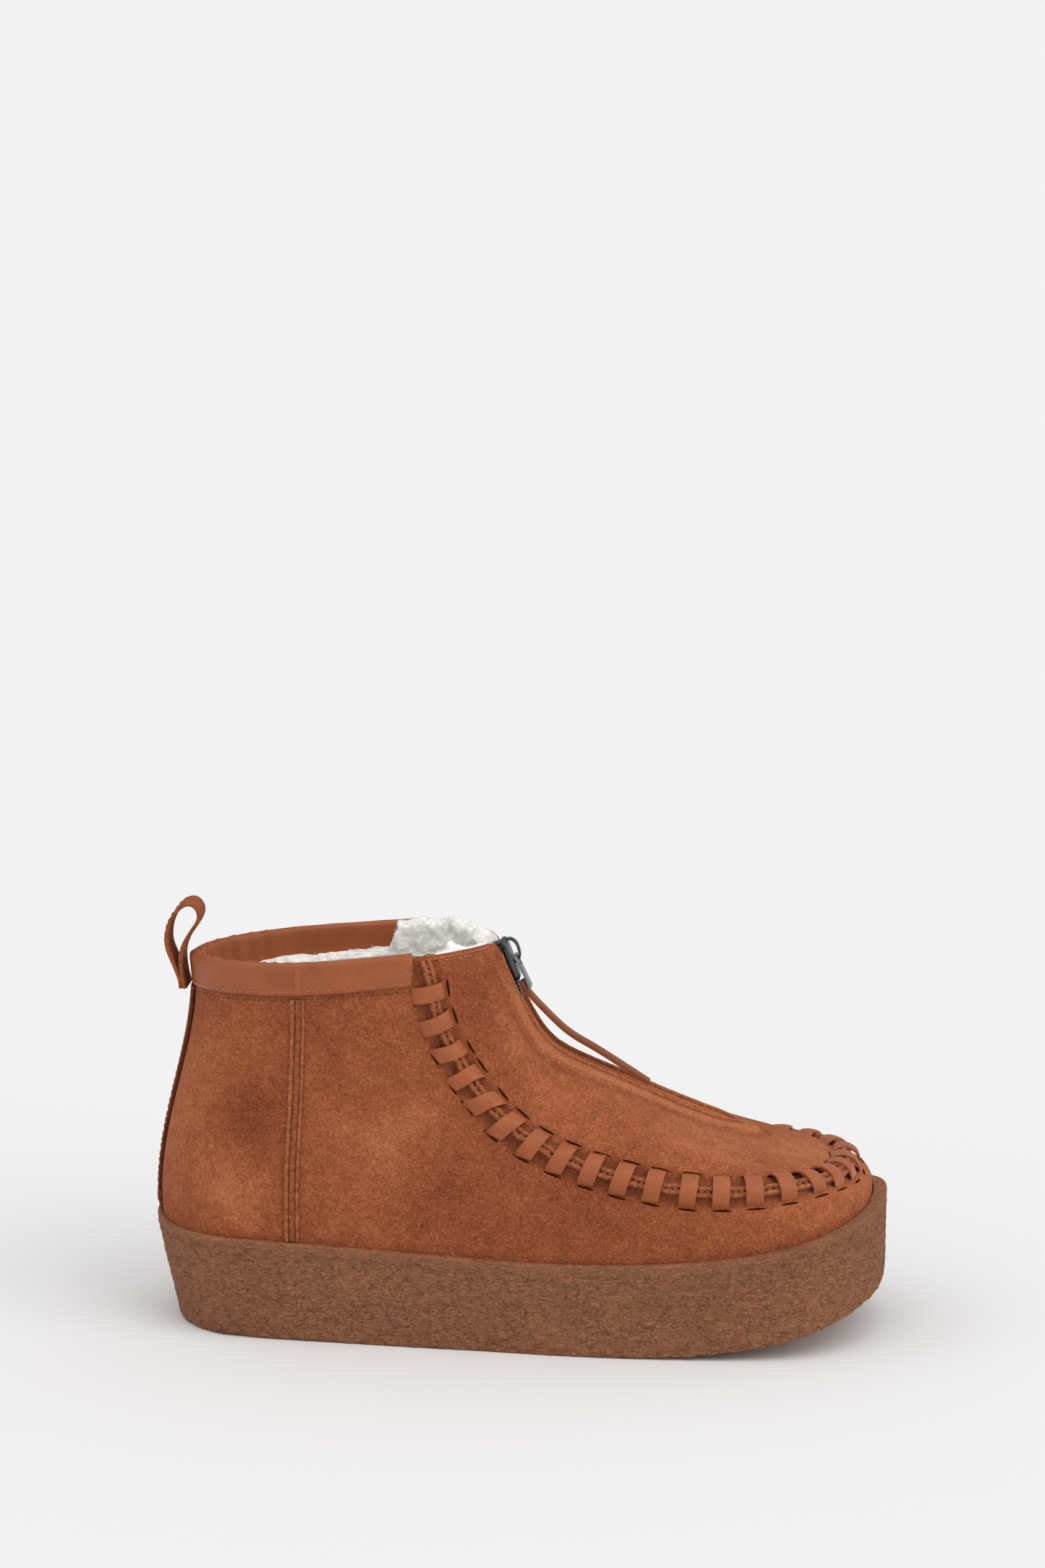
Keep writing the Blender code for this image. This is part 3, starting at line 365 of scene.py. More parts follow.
def grain_group():
    """Grain of smooth leather: small cells with fine pores, as a mask and a height."""
    found = bpy.data.node_groups.get("Leather grain")
    if found:
        return found
    wants = (("Size", "NodeSocketFloat", 900.0),)
    gives = (("Mask", "NodeSocketFloat"), ("Height", "NodeSocketFloat"))
    tree, source, result = new_group("Leather grain", wants, gives)
    place = put(tree, "ShaderNodeTexCoord").outputs["Object"]
    cell = put(
        tree,
        "ShaderNodeTexVoronoi",
        {"Vector": place, "Scale": source.outputs["Size"]},
        feature="DISTANCE_TO_EDGE",
    ).outputs["Distance"]
    valley = spread(tree, cell, 0.0, 0.22)
    cloud = texture(tree, place, 90.0, 3.0, 0.4)
    tree.links.new(spread(tree, cloud, 0.3, 0.72), result.inputs["Mask"])
    tree.links.new(sums(tree, (valley, 0.6), (cloud, 1.2)), result.inputs["Height"])
    return tree


def new_material(name, **settings):
    """Material with a Principled shader whose plain values are set on its own sockets."""
    material = bpy.data.materials.new(name)
    material.use_nodes = True
    shader = material.node_tree.nodes["Principled BSDF"]
    for key, value in settings.items():
        shader.inputs[key.replace("_", " ")].default_value = value
    return material, material.node_tree, shader


def add_bump(tree, shader, height, distance, strength=1.0):
    """Bump of a height socket on a shader."""
    bump = put(tree, "ShaderNodeBump", {"Height": height, "Distance": distance, "Strength": strength})
    tree.links.new(bump.outputs["Normal"], shader.inputs["Normal"])


def opaque(colour, factor=1.0):
    """Colour with a full alpha, scaled by a factor."""
    return tuple(min(1.0, part * factor) for part in colour) + (1.0,)


def suede_material(name="Suede", factor=1.0, attribute="nap_light_and_shade"):
    """Cognac suede whose tone is lifted by the piece's own attribute, which holds brushed nap patches and painted
    light and shade.
    """
    found = bpy.data.materials.get(name)
    if found:
        return found
    colours = bpy.context.scene.boot_colours
    material, tree, shader = new_material(
        name, Roughness=0.95, Sheen_Weight=0.07, Sheen_Roughness=0.45, Specular_IOR_Level=0.08
    )
    shader.inputs["Sheen Tint"].default_value = (1.0, 0.62, 0.42, 1.0)
    tone = put(tree, "ShaderNodeAttribute", attribute_name=attribute).outputs["Fac"]
    nap_light_and_shade = put(tree, "ShaderNodeGroup", node_tree=nap_group())
    nap_light_and_shade.inputs["Dark"].default_value = opaque(colours.suede_dark, factor)
    nap_light_and_shade.inputs["Middle"].default_value = opaque(colours.suede, factor)
    nap_light_and_shade.inputs["Light"].default_value = opaque(colours.suede_light, factor)
    tree.links.new(tone, nap_light_and_shade.inputs["Tone"])
    tree.links.new(nap_light_and_shade.outputs["Color"], shader.inputs["Base Color"])
    add_bump(tree, shader, nap_light_and_shade.outputs["Height"], 0.00042, 0.9)
    return material


def leather_material(name="Leather", factor=1.0, size=900.0, gloss=0.44):
    """Smooth aniline leather with fine grain and soft gloss."""
    found = bpy.data.materials.get(name)
    if found:
        return found
    colours = bpy.context.scene.boot_colours
    material, tree, shader = new_material(
        name, Roughness=gloss, Coat_Weight=0.05, Coat_Roughness=0.3, Specular_IOR_Level=0.30
    )
    grain = put(tree, "ShaderNodeGroup", {"Size": size}, node_tree=grain_group())
    body = blend_colour(
        tree,
        grain.outputs["Mask"],
        opaque(colours.leather, factor * 0.86),
        opaque(colours.leather, factor * 1.08),
    )
    place = put(tree, "ShaderNodeTexCoord").outputs["Object"]
    pores = spread(tree, texture(tree, place, 1500.0, 2.0), 0.26, 0.52, 0.55, 1.0)
    body = blend_colour(tree, pores, opaque(colours.leather_dark, factor), body)
    tree.links.new(body, shader.inputs["Base Color"])
    rough = spread(tree, grain.outputs["Mask"], 0.0, 1.0, gloss + 0.08, gloss - 0.04)
    tree.links.new(rough, shader.inputs["Roughness"])
    add_bump(tree, shader, grain.outputs["Height"], 0.00010, 0.55)
    return material


def edge_material(name="Raw suede edge", dark=0.22):
    """Cut fibres of a raw suede edge, speckled, with painted shade from the piece's attribute: dark in the groove
    between plies and along the foot of a bead.
    """
    found = bpy.data.materials.get(name)
    if found:
        return found
    colours = bpy.context.scene.boot_colours
    material, tree, shader = new_material(name, Roughness=0.95, Sheen_Weight=0.06, Specular_IOR_Level=0.08)
    place = put(tree, "ShaderNodeTexCoord").outputs["Object"]
    fleck = texture(tree, place, 1900.0, 3.0, 0.6)
    clump = texture(tree, place, 620.0, 2.0, 0.5)
    share = spread(tree, sums(tree, (fleck, 0.6), (clump, 0.5)), 0.36, 0.74)
    body = blend_colour(tree, share, opaque(colours.raw_edge, dark), opaque(colours.raw_edge, 1.55))
    gap_shade = put(tree, "ShaderNodeAttribute", attribute_name="gap_shade").outputs["Fac"]
    body = blend_colour(tree, gap_shade, body, opaque(colours.raw_edge, dark), "MULTIPLY")
    tree.links.new(body, shader.inputs["Base Color"])
    add_bump(tree, shader, sums(tree, (fleck, 1.0), (clump, 1.2)), 0.0005, 0.9)
    return material


def crepe_material():
    """Matte crepe compound with wrinkles, dimples and a smoother rim, with painted shade in its low places and folds.
    """
    colours = bpy.context.scene.boot_colours
    material, tree, shader = new_material("Crepe", Roughness=0.8, Specular_IOR_Level=0.2)
    place = put(tree, "ShaderNodeTexCoord").outputs["Object"]
    flat = put(tree, "ShaderNodeMapping", {"Vector": place, "Scale": (0.62, 0.62, 1.25)}).outputs["Vector"]
    crumb = spread(tree, texture(tree, flat, 720.0, 3.0, 1.0), 0.32, 0.66)
    fine = spread(tree, texture(tree, place, 1500.0, 2.0, 0.5), 0.30, 0.70)
    swell = spread(tree, texture(tree, flat, 240.0, 2.0, 0.8), 0.30, 0.70)
    cloud = texture(tree, place, 55.0, 2.0)
    folds = None
    for scale, thin in ((270.0, 0.026), (400.0, 0.028)):
        field = texture(tree, flat, scale, 1.0, 0.9)
        apart = put(tree, "ShaderNodeMath", {0: field, 1: 0.5}, operation="SUBTRACT").outputs[0]
        apart = put(tree, "ShaderNodeMath", {0: apart}, operation="ABSOLUTE").outputs[0]
        line = spread(tree, apart, 0.0, thin, 1.0, 0.0)
        chosen = spread(tree, texture(tree, place, scale * 1.3, 1.0), 0.48, 0.58)
        line = put(tree, "ShaderNodeMath", {0: line, 1: chosen}, operation="MULTIPLY").outputs[0]
        if folds is None:
            folds = line
        else:
            folds = put(tree, "ShaderNodeMath", {0: folds, 1: line}, operation="MAXIMUM").outputs[0]
    plain = put(tree, "ShaderNodeAttribute", attribute_name="rim").outputs["Fac"]
    folds = put(
        tree, "ShaderNodeMath", {0: folds, 1: spread(tree, plain, 0.0, 1.0, 1.0, 0.15)}, operation="MULTIPLY"
    ).outputs[0]
    # Painted light and shade: the colour is darker where the crumb and the fine relief are low and in the folds, and
    # lighter on high crumb.
    tone = blend_colour(tree, crumb, opaque(colours.crepe, 0.70), opaque(colours.crepe, 1.10))
    tone = blend_colour(tree, spread(tree, fine, 0.0, 1.0, 0.30, 0.0), tone, opaque(colours.crepe_shade))
    tone = blend_colour(tree, spread(tree, folds, 0.0, 1.0, 0.0, 0.38), tone, opaque(colours.crepe_shade))
    tone = blend_colour(tree, spread(tree, cloud, 0.35, 0.7, 0.0, 0.30), tone, opaque(colours.crepe, 1.2))
    tree.links.new(tone, shader.inputs["Base Color"])
    height = sums(tree, (crumb, 0.75), (fine, 0.20), (swell, 0.60), (folds, -0.75))
    add_bump(tree, shader, height, 0.0010, 1.0)
    return material


def fleece_material():
    """Off-white curled fleece."""
    found = bpy.data.materials.get("Fleece")
    if found:
        return found
    colours = bpy.context.scene.boot_colours
    material, tree, shader = new_material("Fleece", Roughness=0.96, Sheen_Weight=0.25, Specular_IOR_Level=0.1)
    place = put(tree, "ShaderNodeTexCoord").outputs["Object"]
    curl = texture(tree, place, 420.0, 4.0, 1.2)
    fine = texture(tree, place, 1700.0, 2.0, 0.6)
    share = spread(tree, sums(tree, (curl, 0.7), (fine, 0.35)), 0.34, 0.64)
    body = blend_colour(tree, share, opaque(colours.fleece, 0.94), opaque(colours.fleece, 1.06))
    tree.links.new(body, shader.inputs["Base Color"])
    add_bump(tree, shader, sums(tree, (curl, 1.0), (fine, 0.5)), 0.0005, 0.55)
    return material


def thread_material(name, colour):
    """Twisted sewing thread."""
    found = bpy.data.materials.get(name)
    if found:
        return found
    material, tree, shader = new_material(name, Roughness=0.6, Sheen_Weight=0.2, Specular_IOR_Level=0.3)
    place = put(tree, "ShaderNodeTexCoord").outputs["Object"]
    twist = texture(tree, place, 3200.0, 1.0)
    body = blend_colour(tree, spread(tree, twist, 0.3, 0.7), opaque(colour, 0.7), opaque(colour, 1.2))
    tree.links.new(body, shader.inputs["Base Color"])
    add_bump(tree, shader, twist, 0.0001, 0.5)
    return material


def metal_material(name, colour, rough):
    """Dark plated metal with fine wear."""
    material, tree, shader = new_material(name, Metallic=0.92, Roughness=rough)
    place = put(tree, "ShaderNodeTexCoord").outputs["Object"]
    cloud = texture(tree, place, 320.0, 4.0, 0.5)
    scratch = texture(tree, put(tree, "ShaderNodeMapping", {"Vector": place, "Scale": (1.0, 6.0, 1.0)}).outputs[0], 900.0)
    wear = spread(tree, sums(tree, (cloud, 0.6), (scratch, 0.5)), 0.46, 0.72)
    body = blend_colour(tree, wear, opaque(colour), opaque(colour, 2.4))
    tree.links.new(body, shader.inputs["Base Color"])
    tree.links.new(spread(tree, wear, 0.0, 1.0, rough - 0.05, rough + 0.14), shader.inputs["Roughness"])
    add_bump(tree, shader, scratch, 0.00006, 0.4)
    return material


def tape_material():
    """Woven zip tape."""
    colours = bpy.context.scene.boot_colours
    material, tree, shader = new_material("Zip tape", Roughness=0.85, Sheen_Weight=0.15, Specular_IOR_Level=0.2)
    place = put(tree, "ShaderNodeTexCoord").outputs["Object"]
    weave = put(tree, "ShaderNodeTexWave", {"Vector": place, "Scale": 420.0, "Distortion": 0.6}).outputs["Fac"]
    cross = put(
        tree, "ShaderNodeTexWave", {"Vector": place, "Scale": 420.0}, bands_direction="Z"
    ).outputs["Fac"]
    share = sums(tree, (weave, 0.5), (cross, 0.5))
    body = blend_colour(tree, share, opaque(colours.tape, 0.6), opaque(colours.tape, 1.5))
    tree.links.new(body, shader.inputs["Base Color"])
    add_bump(tree, shader, share, 0.00015, 0.7)
    return material


def slit_shadow_material():
    """Painted shade that stands for the dark inside of a slit or a hole."""
    colours = bpy.context.scene.boot_colours
    found = bpy.data.materials.get("Slit shadow")
    if found:
        return found
    material, tree, shader = new_material("Slit shadow", Roughness=1.0, Specular_IOR_Level=0.0)
    place = put(tree, "ShaderNodeTexCoord").outputs["Object"]
    share = texture(tree, place, 1500.0, 2.0)
    body = blend_colour(tree, share, opaque(colours.suede_dark, 0.10), opaque(colours.suede_dark, 0.34))
    tree.links.new(body, shader.inputs["Base Color"])
    return material


def deselect():
    """Leaves object mode active with nothing selected."""
    if bpy.context.mode != "OBJECT":
        bpy.ops.object.mode_set(mode="OBJECT")
    bpy.ops.object.select_all(action="DESELECT")


def only(piece):
    """Selects one object and makes it the active one."""
    deselect()
    piece.select_set(True)
    bpy.context.view_layer.objects.active = piece


def apply_all(piece):
    """Applies every modifier of a piece."""
    only(piece)
    for modifier in list(piece.modifiers):
        bpy.ops.object.modifier_apply(modifier=modifier.name)


def points_of(mesh):
    """Places of a mesh's vertices as rows."""
    rows = np.empty(len(mesh.vertices) * 3)
    mesh.vertices.foreach_get("co", rows)
    return rows.reshape(-1, 3)


def normals_of(mesh):
    """Normals of a mesh's vertices as rows."""
    rows = np.empty(len(mesh.vertices) * 3)
    mesh.vertices.foreach_get("normal", rows)
    return rows.reshape(-1, 3)


def set_points(mesh, rows):
    """Moves a mesh's vertices to the given rows."""
    mesh.vertices.foreach_set("co", rows.ravel())
    mesh.update()


def set_value(mesh, name, values):
    """Stores one number for each vertex as a named attribute."""
    attribute = mesh.attributes.get(name) or mesh.attributes.new(name, "FLOAT", "POINT")
    attribute.data.foreach_set("value", np.asarray(values, np.float32))


def finish_piece(piece, body=BOOT, nodes=(), material=None, angle=None):
    """Gives a piece its finish, its body and the solids that it stands for."""
    if material is not None:
        piece.data.materials.clear()
        piece.data.materials.append(material)
    only(piece)
    if angle is None:
        bpy.ops.object.shade_smooth()
    else:
        bpy.ops.object.shade_smooth_by_angle(angle=math.radians(angle))
    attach(piece, body)
    if nodes:
        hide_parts(*nodes)
    return piece


def dressed(node, name, levels=2, crease=0.0, sharp=38.0, fit=True):
    """Copy of a solid, back in quads and rounded by subdivision that still meets its corners."""
    piece = bpy.data.objects.new(name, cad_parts[node].data.copy())
    bpy.context.scene.collection.objects.link(piece)
    only(piece)
    piece.data.materials.clear()
    bpy.ops.object.mode_set(mode="EDIT")
    bpy.ops.mesh.select_all(action="SELECT")
    bpy.ops.mesh.customdata_custom_splitnormals_clear()
    bpy.ops.mesh.remove_doubles(threshold=MERGE)
    bpy.ops.mesh.tris_convert_to_quads(face_threshold=math.radians(40), shape_threshold=math.radians(60))
    bpy.ops.object.mode_set(mode="OBJECT")
    mesh = piece.data
    work = bmesh.new()
    work.from_mesh(mesh)
    layer = work.edges.layers.float.get("crease_edge") or work.edges.layers.float.new("crease_edge")
    soft = np.ones(len(work.verts), bool)
    for edge in work.edges:
        if len(edge.link_faces) != 2 or edge.calc_face_angle(0.0) > math.radians(sharp):
            edge[layer] = crease
            soft[edge.verts[0].index] = False
            soft[edge.verts[1].index] = False
    work.to_mesh(mesh)
    work.free()
    modifier = piece.modifiers.new("Rounding", "SUBSURF")
    modifier.levels = levels
    modifier.render_levels = levels
    if fit:
        goal = points_of(mesh)
        held = goal.copy()
        for _ in range(3):
            shown = piece.evaluated_get(bpy.context.evaluated_depsgraph_get()).data
            miss = goal - points_of(shown)[: len(goal)]
            held[soft] += miss[soft]
            set_points(mesh, held)
    apply_all(piece)
    return piece


def between_rows(rows, step):
    """Evenly spaced points on a smooth curve through rows of x, y, z in millimetres."""
    spots = [Vector(row) * MM for row in rows]
    spots = [2 * spots[0] - spots[1]] + spots + [2 * spots[-1] - spots[-2]]
    fine = []
    for a, b, c, d in zip(spots, spots[1:], spots[2:], spots[3:]):
        for i in range(12):
            t = i / 12
            fine.append(
                0.5
                * (2 * b + (c - a) * t + (2 * a - 5 * b + 4 * c - d) * t * t + (3 * b - a - 3 * c + d) * t**3)
            )
    fine.append(spots[-2])
    lengths = [0.0]
    for a, b in zip(fine, fine[1:]):
        lengths.append(lengths[-1] + (b - a).length)
    count = max(2, int(round(lengths[-1] / step)))
    places = np.linspace(0.0, lengths[-1], count + 1)
    columns = [np.interp(places, lengths, [spot[axis] for spot in fine]) for axis in range(3)]
    return [Vector(spot) for spot in zip(*columns)]


class Skin:
    """Surface that seams, stitches and slits are laid on."""

    def __init__(self, *pieces):
        corners = []
        faces = []
        for piece in pieces:
            start = len(corners)
            corners += [vertex.co.copy() for vertex in piece.data.vertices]
            faces += [[start + index for index in face.vertices] for face in piece.data.polygons]
        self.tree = BVHTree.FromPolygons(corners, faces)

    def at(self, spot, away=None):
        """Nearest place on the surface and its normal. away is a point that the normal leads from."""
        place, normal, _, _ = self.tree.find_nearest(spot)
        if away is not None and normal.dot(place - away) < 0:
            start = place - normal * 0.0001
            hit = self.tree.ray_cast(start, -normal, 0.006)
            if hit[0] is not None:
                place, normal = hit[0], hit[1]
        return place, normal

    def walk(self, spot, way, length, steps=4):
        """Place on the surface a length away from a spot, going a given way."""
        place, normal = self.at(spot)
        for _ in range(steps):
            along = (way - normal * way.dot(normal)).normalized()
            place, normal = self.at(place + along * (length / steps))
        return place


def heart(spot):
    """Point inside the boot that the walls near a spot face away from."""
    if spot.x < -0.02 or spot.z > 0.105:
        return Vector((-0.066, 0.0015, min(max(spot.z, 0.05), 0.145)))
    return Vector((spot.x * 0.92 - 0.006, 0.004, 0.052))


def outer_skin():
    """Skin of the dressed upper, whose outer wall is what is looked for."""
    return Skin(bpy.data.objects["upper_suede"])


def on_outer(skin, spot):
    """Place and normal on the upper's outer wall."""
    core = heart(spot)
    out = (spot - core).normalized()
    place, normal = skin.at(spot + out * 0.003)
    if normal.dot(out) < 0:
        place, normal = skin.at(place + out * 0.006)
    return place, normal


def seam_path(step):
    """Evenly spaced points of the whole apron seam, outer side first, from its own rows."""
    half = between_rows(SEAM_ROWS, step)
    skin = outer_skin()
    mirror = mirrored_seam()
    other = between_rows(mirror, step)
    path = half[:-1] + other
    return [on_outer(skin, spot) for spot in path]


def mirrored_seam():
    """Rows of the apron seam's inner half, read from the frame's own seam solid at each row's place."""
    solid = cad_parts["apron_seam"].data
    tree = KDTree(len(solid.vertices))
    for index, vertex in enumerate(solid.vertices):
        tree.insert(vertex.co, index)
    tree.balance()
    rows = []
    for x, y, z in reversed(SEAM_ROWS):
        flip = Vector((x, 2 * MIDDLE_Y - y, z)) * MM
        near, _, _ = tree.find(flip)
        rows.append(tuple(near / MM))
    return rows


MIDDLE_Y = 2.6


def sweep(name, path, profile, wobble=0.0, heights=None):
    """Closed bead along places and normals. Profile rows give across mm, out mm and depth of shade."""
    work = bmesh.new()
    layer = work.verts.layers.float.new("gap_shade")
    rings = []
    last = len(path) - 1
    for i, (place, normal) in enumerate(path):
        run = (path[min(i + 1, last)][0] - path[max(i - 1, 0)][0]).normalized()
        side = normal.cross(run).normalized()
        up = run.cross(side).normalized()
        tall = heights[i] if heights else 1.0
        ring = []
        for across, out, shade in profile:
            shake = 1.0 + wobble * noise.noise(place * 700 + Vector((across, 0, 0)))
            vertex = work.verts.new(place + side * across * MM * shake + up * out * tall * MM * shake)
            vertex[layer] = shade
            ring.append(vertex)
        rings.append(ring)
    count = len(profile)
    for first, second in zip(rings, rings[1:]):
        for j in range(count):
            k = (j + 1) % count
            work.faces.new((first[j], first[k], second[k], second[j]))
    work.faces.new(list(reversed(rings[0])))
    work.faces.new(rings[-1])
    bmesh.ops.recalc_face_normals(work, faces=work.faces)
    mesh = bpy.data.meshes.new(name)
    work.to_mesh(mesh)
    work.free()
    piece = bpy.data.objects.new(name, mesh)
    bpy.context.scene.collection.objects.link(piece)
    return piece


def bead_template(length, radius, flat=1.0, segments=8, rings=5):
    """Small rounded bead along X, the model of a stitch or of a slit's painted shadow."""
    deselect()
    bpy.ops.mesh.primitive_uv_sphere_add(segments=segments, ring_count=rings, radius=1.0)
    piece = bpy.context.active_object
    bpy.ops.object.mode_set(mode="EDIT")
    bpy.ops.mesh.select_all(action="SELECT")
    bpy.ops.transform.rotate(value=math.pi / 2, orient_axis="Y", center_override=(0.0, 0.0, 0.0))
    bpy.ops.transform.resize(value=(length / 2, radius, radius * flat))
    bpy.ops.object.mode_set(mode="OBJECT")
    return take_template(piece)


def take_template(piece):
    """Corners and faces of a model piece, which is then removed."""
    corners = points_of(piece.data)
    faces = [list(face.vertices) for face in piece.data.polygons]
    mesh = piece.data
    bpy.data.objects.remove(piece)
    bpy.data.meshes.remove(mesh)
    return corners, faces


def repeated(name, template, matrices):
    """One mesh of a template set at every matrix."""
    corners, faces = template
    rows = []
    whole = []
    for index, matrix in enumerate(matrices):
        grid = np.array(matrix)
        rows.append(corners @ grid[:3, :3].T + grid[:3, 3])
        start = index * len(corners)
        whole += [[start + corner for corner in face] for face in faces]
    mesh = bpy.data.meshes.new(name)
    mesh.from_pydata(np.concatenate(rows).tolist(), [], whole)
    mesh.update()
    piece = bpy.data.objects.new(name, mesh)
    bpy.context.scene.collection.objects.link(piece)
    return piece


def laid(place, run, normal, tilt=0.0):
    """Matrix with X along a run and Z along a normal."""
    side = normal.cross(run).normalized()
    along = side.cross(normal).normalized()
    matrix = Matrix((along, side, normal)).transposed().to_4x4()
    matrix.translation = place
    if tilt:
        matrix = matrix @ Matrix.Rotation(tilt, 4, "Z")
    return matrix


def stitch_row(name, path, material, lift=0.1, body=BOOT, length=None, pitch=None, tilt=0.12):
    """Row of stitches along a path of places and normals."""
    sizes = bpy.context.scene.boot_sizes
    length = length or sizes.stitch
    pitch = pitch or sizes.stitch_pitch
    template = bead_template(length, sizes.thread, 0.8)
    matrices = []
    travelled = 0.0
    for (place, normal), (after, _) in zip(path, path[1:]):
        travelled += (after - place).length
        if travelled >= pitch:
            travelled -= pitch
            run = (after - place).normalized()
            matrices.append(laid(place + normal * lift * MM, run, normal, tilt))
    piece = repeated(name, template, matrices)
    return finish_piece(piece, body, material=material)


def rim_path(column, start, stop, step=0.5 * MM, drop=0.0):
    """Points of the upper's rim on one side, lowered by a drop."""
    rows = [(row[0], row[column], row[3] - drop) for row in RIM_ROWS[start:stop]]
    return between_rows(rows, step)


class BOOT_OT_upper(bpy.types.Operator):
    """Suede upper with its creases, puckers, brushed nap and painted light and shade in its tone"""

    bl_idname = "boot.upper"
    bl_label = "Upper"

    def execute(self, context):
        piece = dressed("upper", "upper_suede", levels=2)
        mesh = piece.data
        places = points_of(mesh)
        outward = self.outward(places, normals_of(mesh))
        height = self.crease(places) + self.facing(places)
        moved = places + outward * height[:, None]
        set_points(mesh, moved)
        self.refine(mesh)
        self.pucker(mesh, context.scene.boot_sizes.pucker)
        self.brush(mesh)
        finish_piece(piece, nodes=("upper",), material=suede_material())
        return {"FINISHED"}

    def outward(self, places, normals):
        """Normals turned to lead out of the boot on both walls."""
        cores = np.array([heart(Vector(place)) for place in places])
        sign = np.sign(np.sum(normals * (places - cores), axis=1))
        return normals * np.where(sign == 0, 1.0, sign)[:, None]

    def crease(self, places):
        """Height of the soft creases and ridges at every place."""
        height = np.zeros(len(places))
        for row in CREASE_ROWS:
            start = np.array(row[0:3]) * MM
            way = np.array(row[3:6]) * MM - start
            share = np.clip(((places - start) @ way) / (way @ way), 0.0, 1.0)
            apart = np.linalg.norm(places - start - share[:, None] * way, axis=1)
            fade = np.sin(np.pi * np.clip(share, 0.08, 0.92))
            height -= row[7] * MM * fade * np.exp(-((apart / (row[6] * MM)) ** 2))
        return height

    def facing(self, places):
        """Height of the flat band beside the zip, which ends in a soft step."""
        line = []
        for column in (1, 2):
            line += rim_path(column, FRONT_START, len(RIM_ROWS), step=1.0 * MM)
        tree = KDTree(len(line))
        for index, spot in enumerate(line):
            tree.insert(spot, index)
        tree.balance()
        height = np.zeros(len(places))
        for index, place in enumerate(places):
            _, _, apart = tree.find(place)
            band = 1.0 / (1.0 + math.exp((apart / MM - 8.4) / 0.5))
            groove = math.exp(-(((apart / MM - 10.6) / 1.5) ** 2))
            height[index] = (0.95 * band - 0.60 * groove) * MM * min(1.0, max(0.0, (0.142 - place[2]) / 0.02))
        return height

    def refine(self, mesh):
        """Halves the faces along the apron seam."""
        guide = between_rows(SEAM_ROWS, 3 * MM) + between_rows(mirrored_seam(), 3 * MM)
        tree = KDTree(len(guide))
        for index, spot in enumerate(guide):
            tree.insert(spot, index)
        tree.balance()
        work = bmesh.new()
        work.from_mesh(mesh)
        near = [face for face in work.faces if tree.find(face.calc_center_median())[2] < 9.5 * MM]
        edges = {edge for face in near for edge in face.edges}
        bmesh.ops.subdivide_edges(work, edges=list(edges), cuts=1, use_grid_fill=True, smooth=0.0)
        work.to_mesh(mesh)
        work.free()
        mesh.update()

    def pucker(self, mesh, depth):
        """Sinks the suede beside the ridge and lifts it between the laces."""
        spots = []
        for name in LACES:
            low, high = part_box(name)
            spots.append((low + high) / 2)
        guide = between_rows(SEAM_ROWS, 1 * MM) + between_rows(mirrored_seam(), 1 * MM)
        tree = KDTree(len(guide))
        for index, spot in enumerate(guide):
            tree.insert(spot, index)
        tree.balance()
        laces = KDTree(len(spots))
        for index, spot in enumerate(spots):
            laces.insert(spot, index)
        laces.balance()
        places = points_of(mesh)
        outward = self.outward(places, normals_of(mesh))
        for index, place in enumerate(places):
            _, _, apart = tree.find(place)
            if apart > 0.016:
                continue
            _, _, lace = laces.find(place)
            dip = math.exp(-(((apart - 0.0038) / 0.0022) ** 2))
            swell = math.exp(-(((apart - 0.0085) / 0.0035) ** 2)) * (min(lace, 0.0095) / 0.0095 - 0.6)
            toe = 1.0 + 1.2 * min(1.0, max(0.0, (place[0] - 0.085) / 0.03))
            places[index] += outward[index] * depth * (0.75 * swell * toe - 0.9 * dip)
        set_points(mesh, places)

    def brush(self, mesh):
        """Tone of the suede: lighter and darker brushed nap patches, with painted light and shade."""
        places = points_of(mesh)
        # Painted light and shade: the tone follows the relief. It is lighter on the raised zip facing and on crease
        # ridges, and darker in crease troughs and in the facing's groove.
        tone = self.facing(places) / MM * 0.55 + self.crease(places) / MM * 0.25
        # The table's patches are brushed nap plus painted light and shade: a lighter heel and toe, and a darker low
        # wall above the sole.
        for x, y, z, radius, lift in NAP_LIGHT_AND_SHADE_ROWS:
            apart = np.linalg.norm(places - np.array((x, y, z)) * MM, axis=1)
            tone += lift * np.exp(-((apart / (radius * MM)) ** 2))
        set_value(mesh, "nap_light_and_shade", tone)


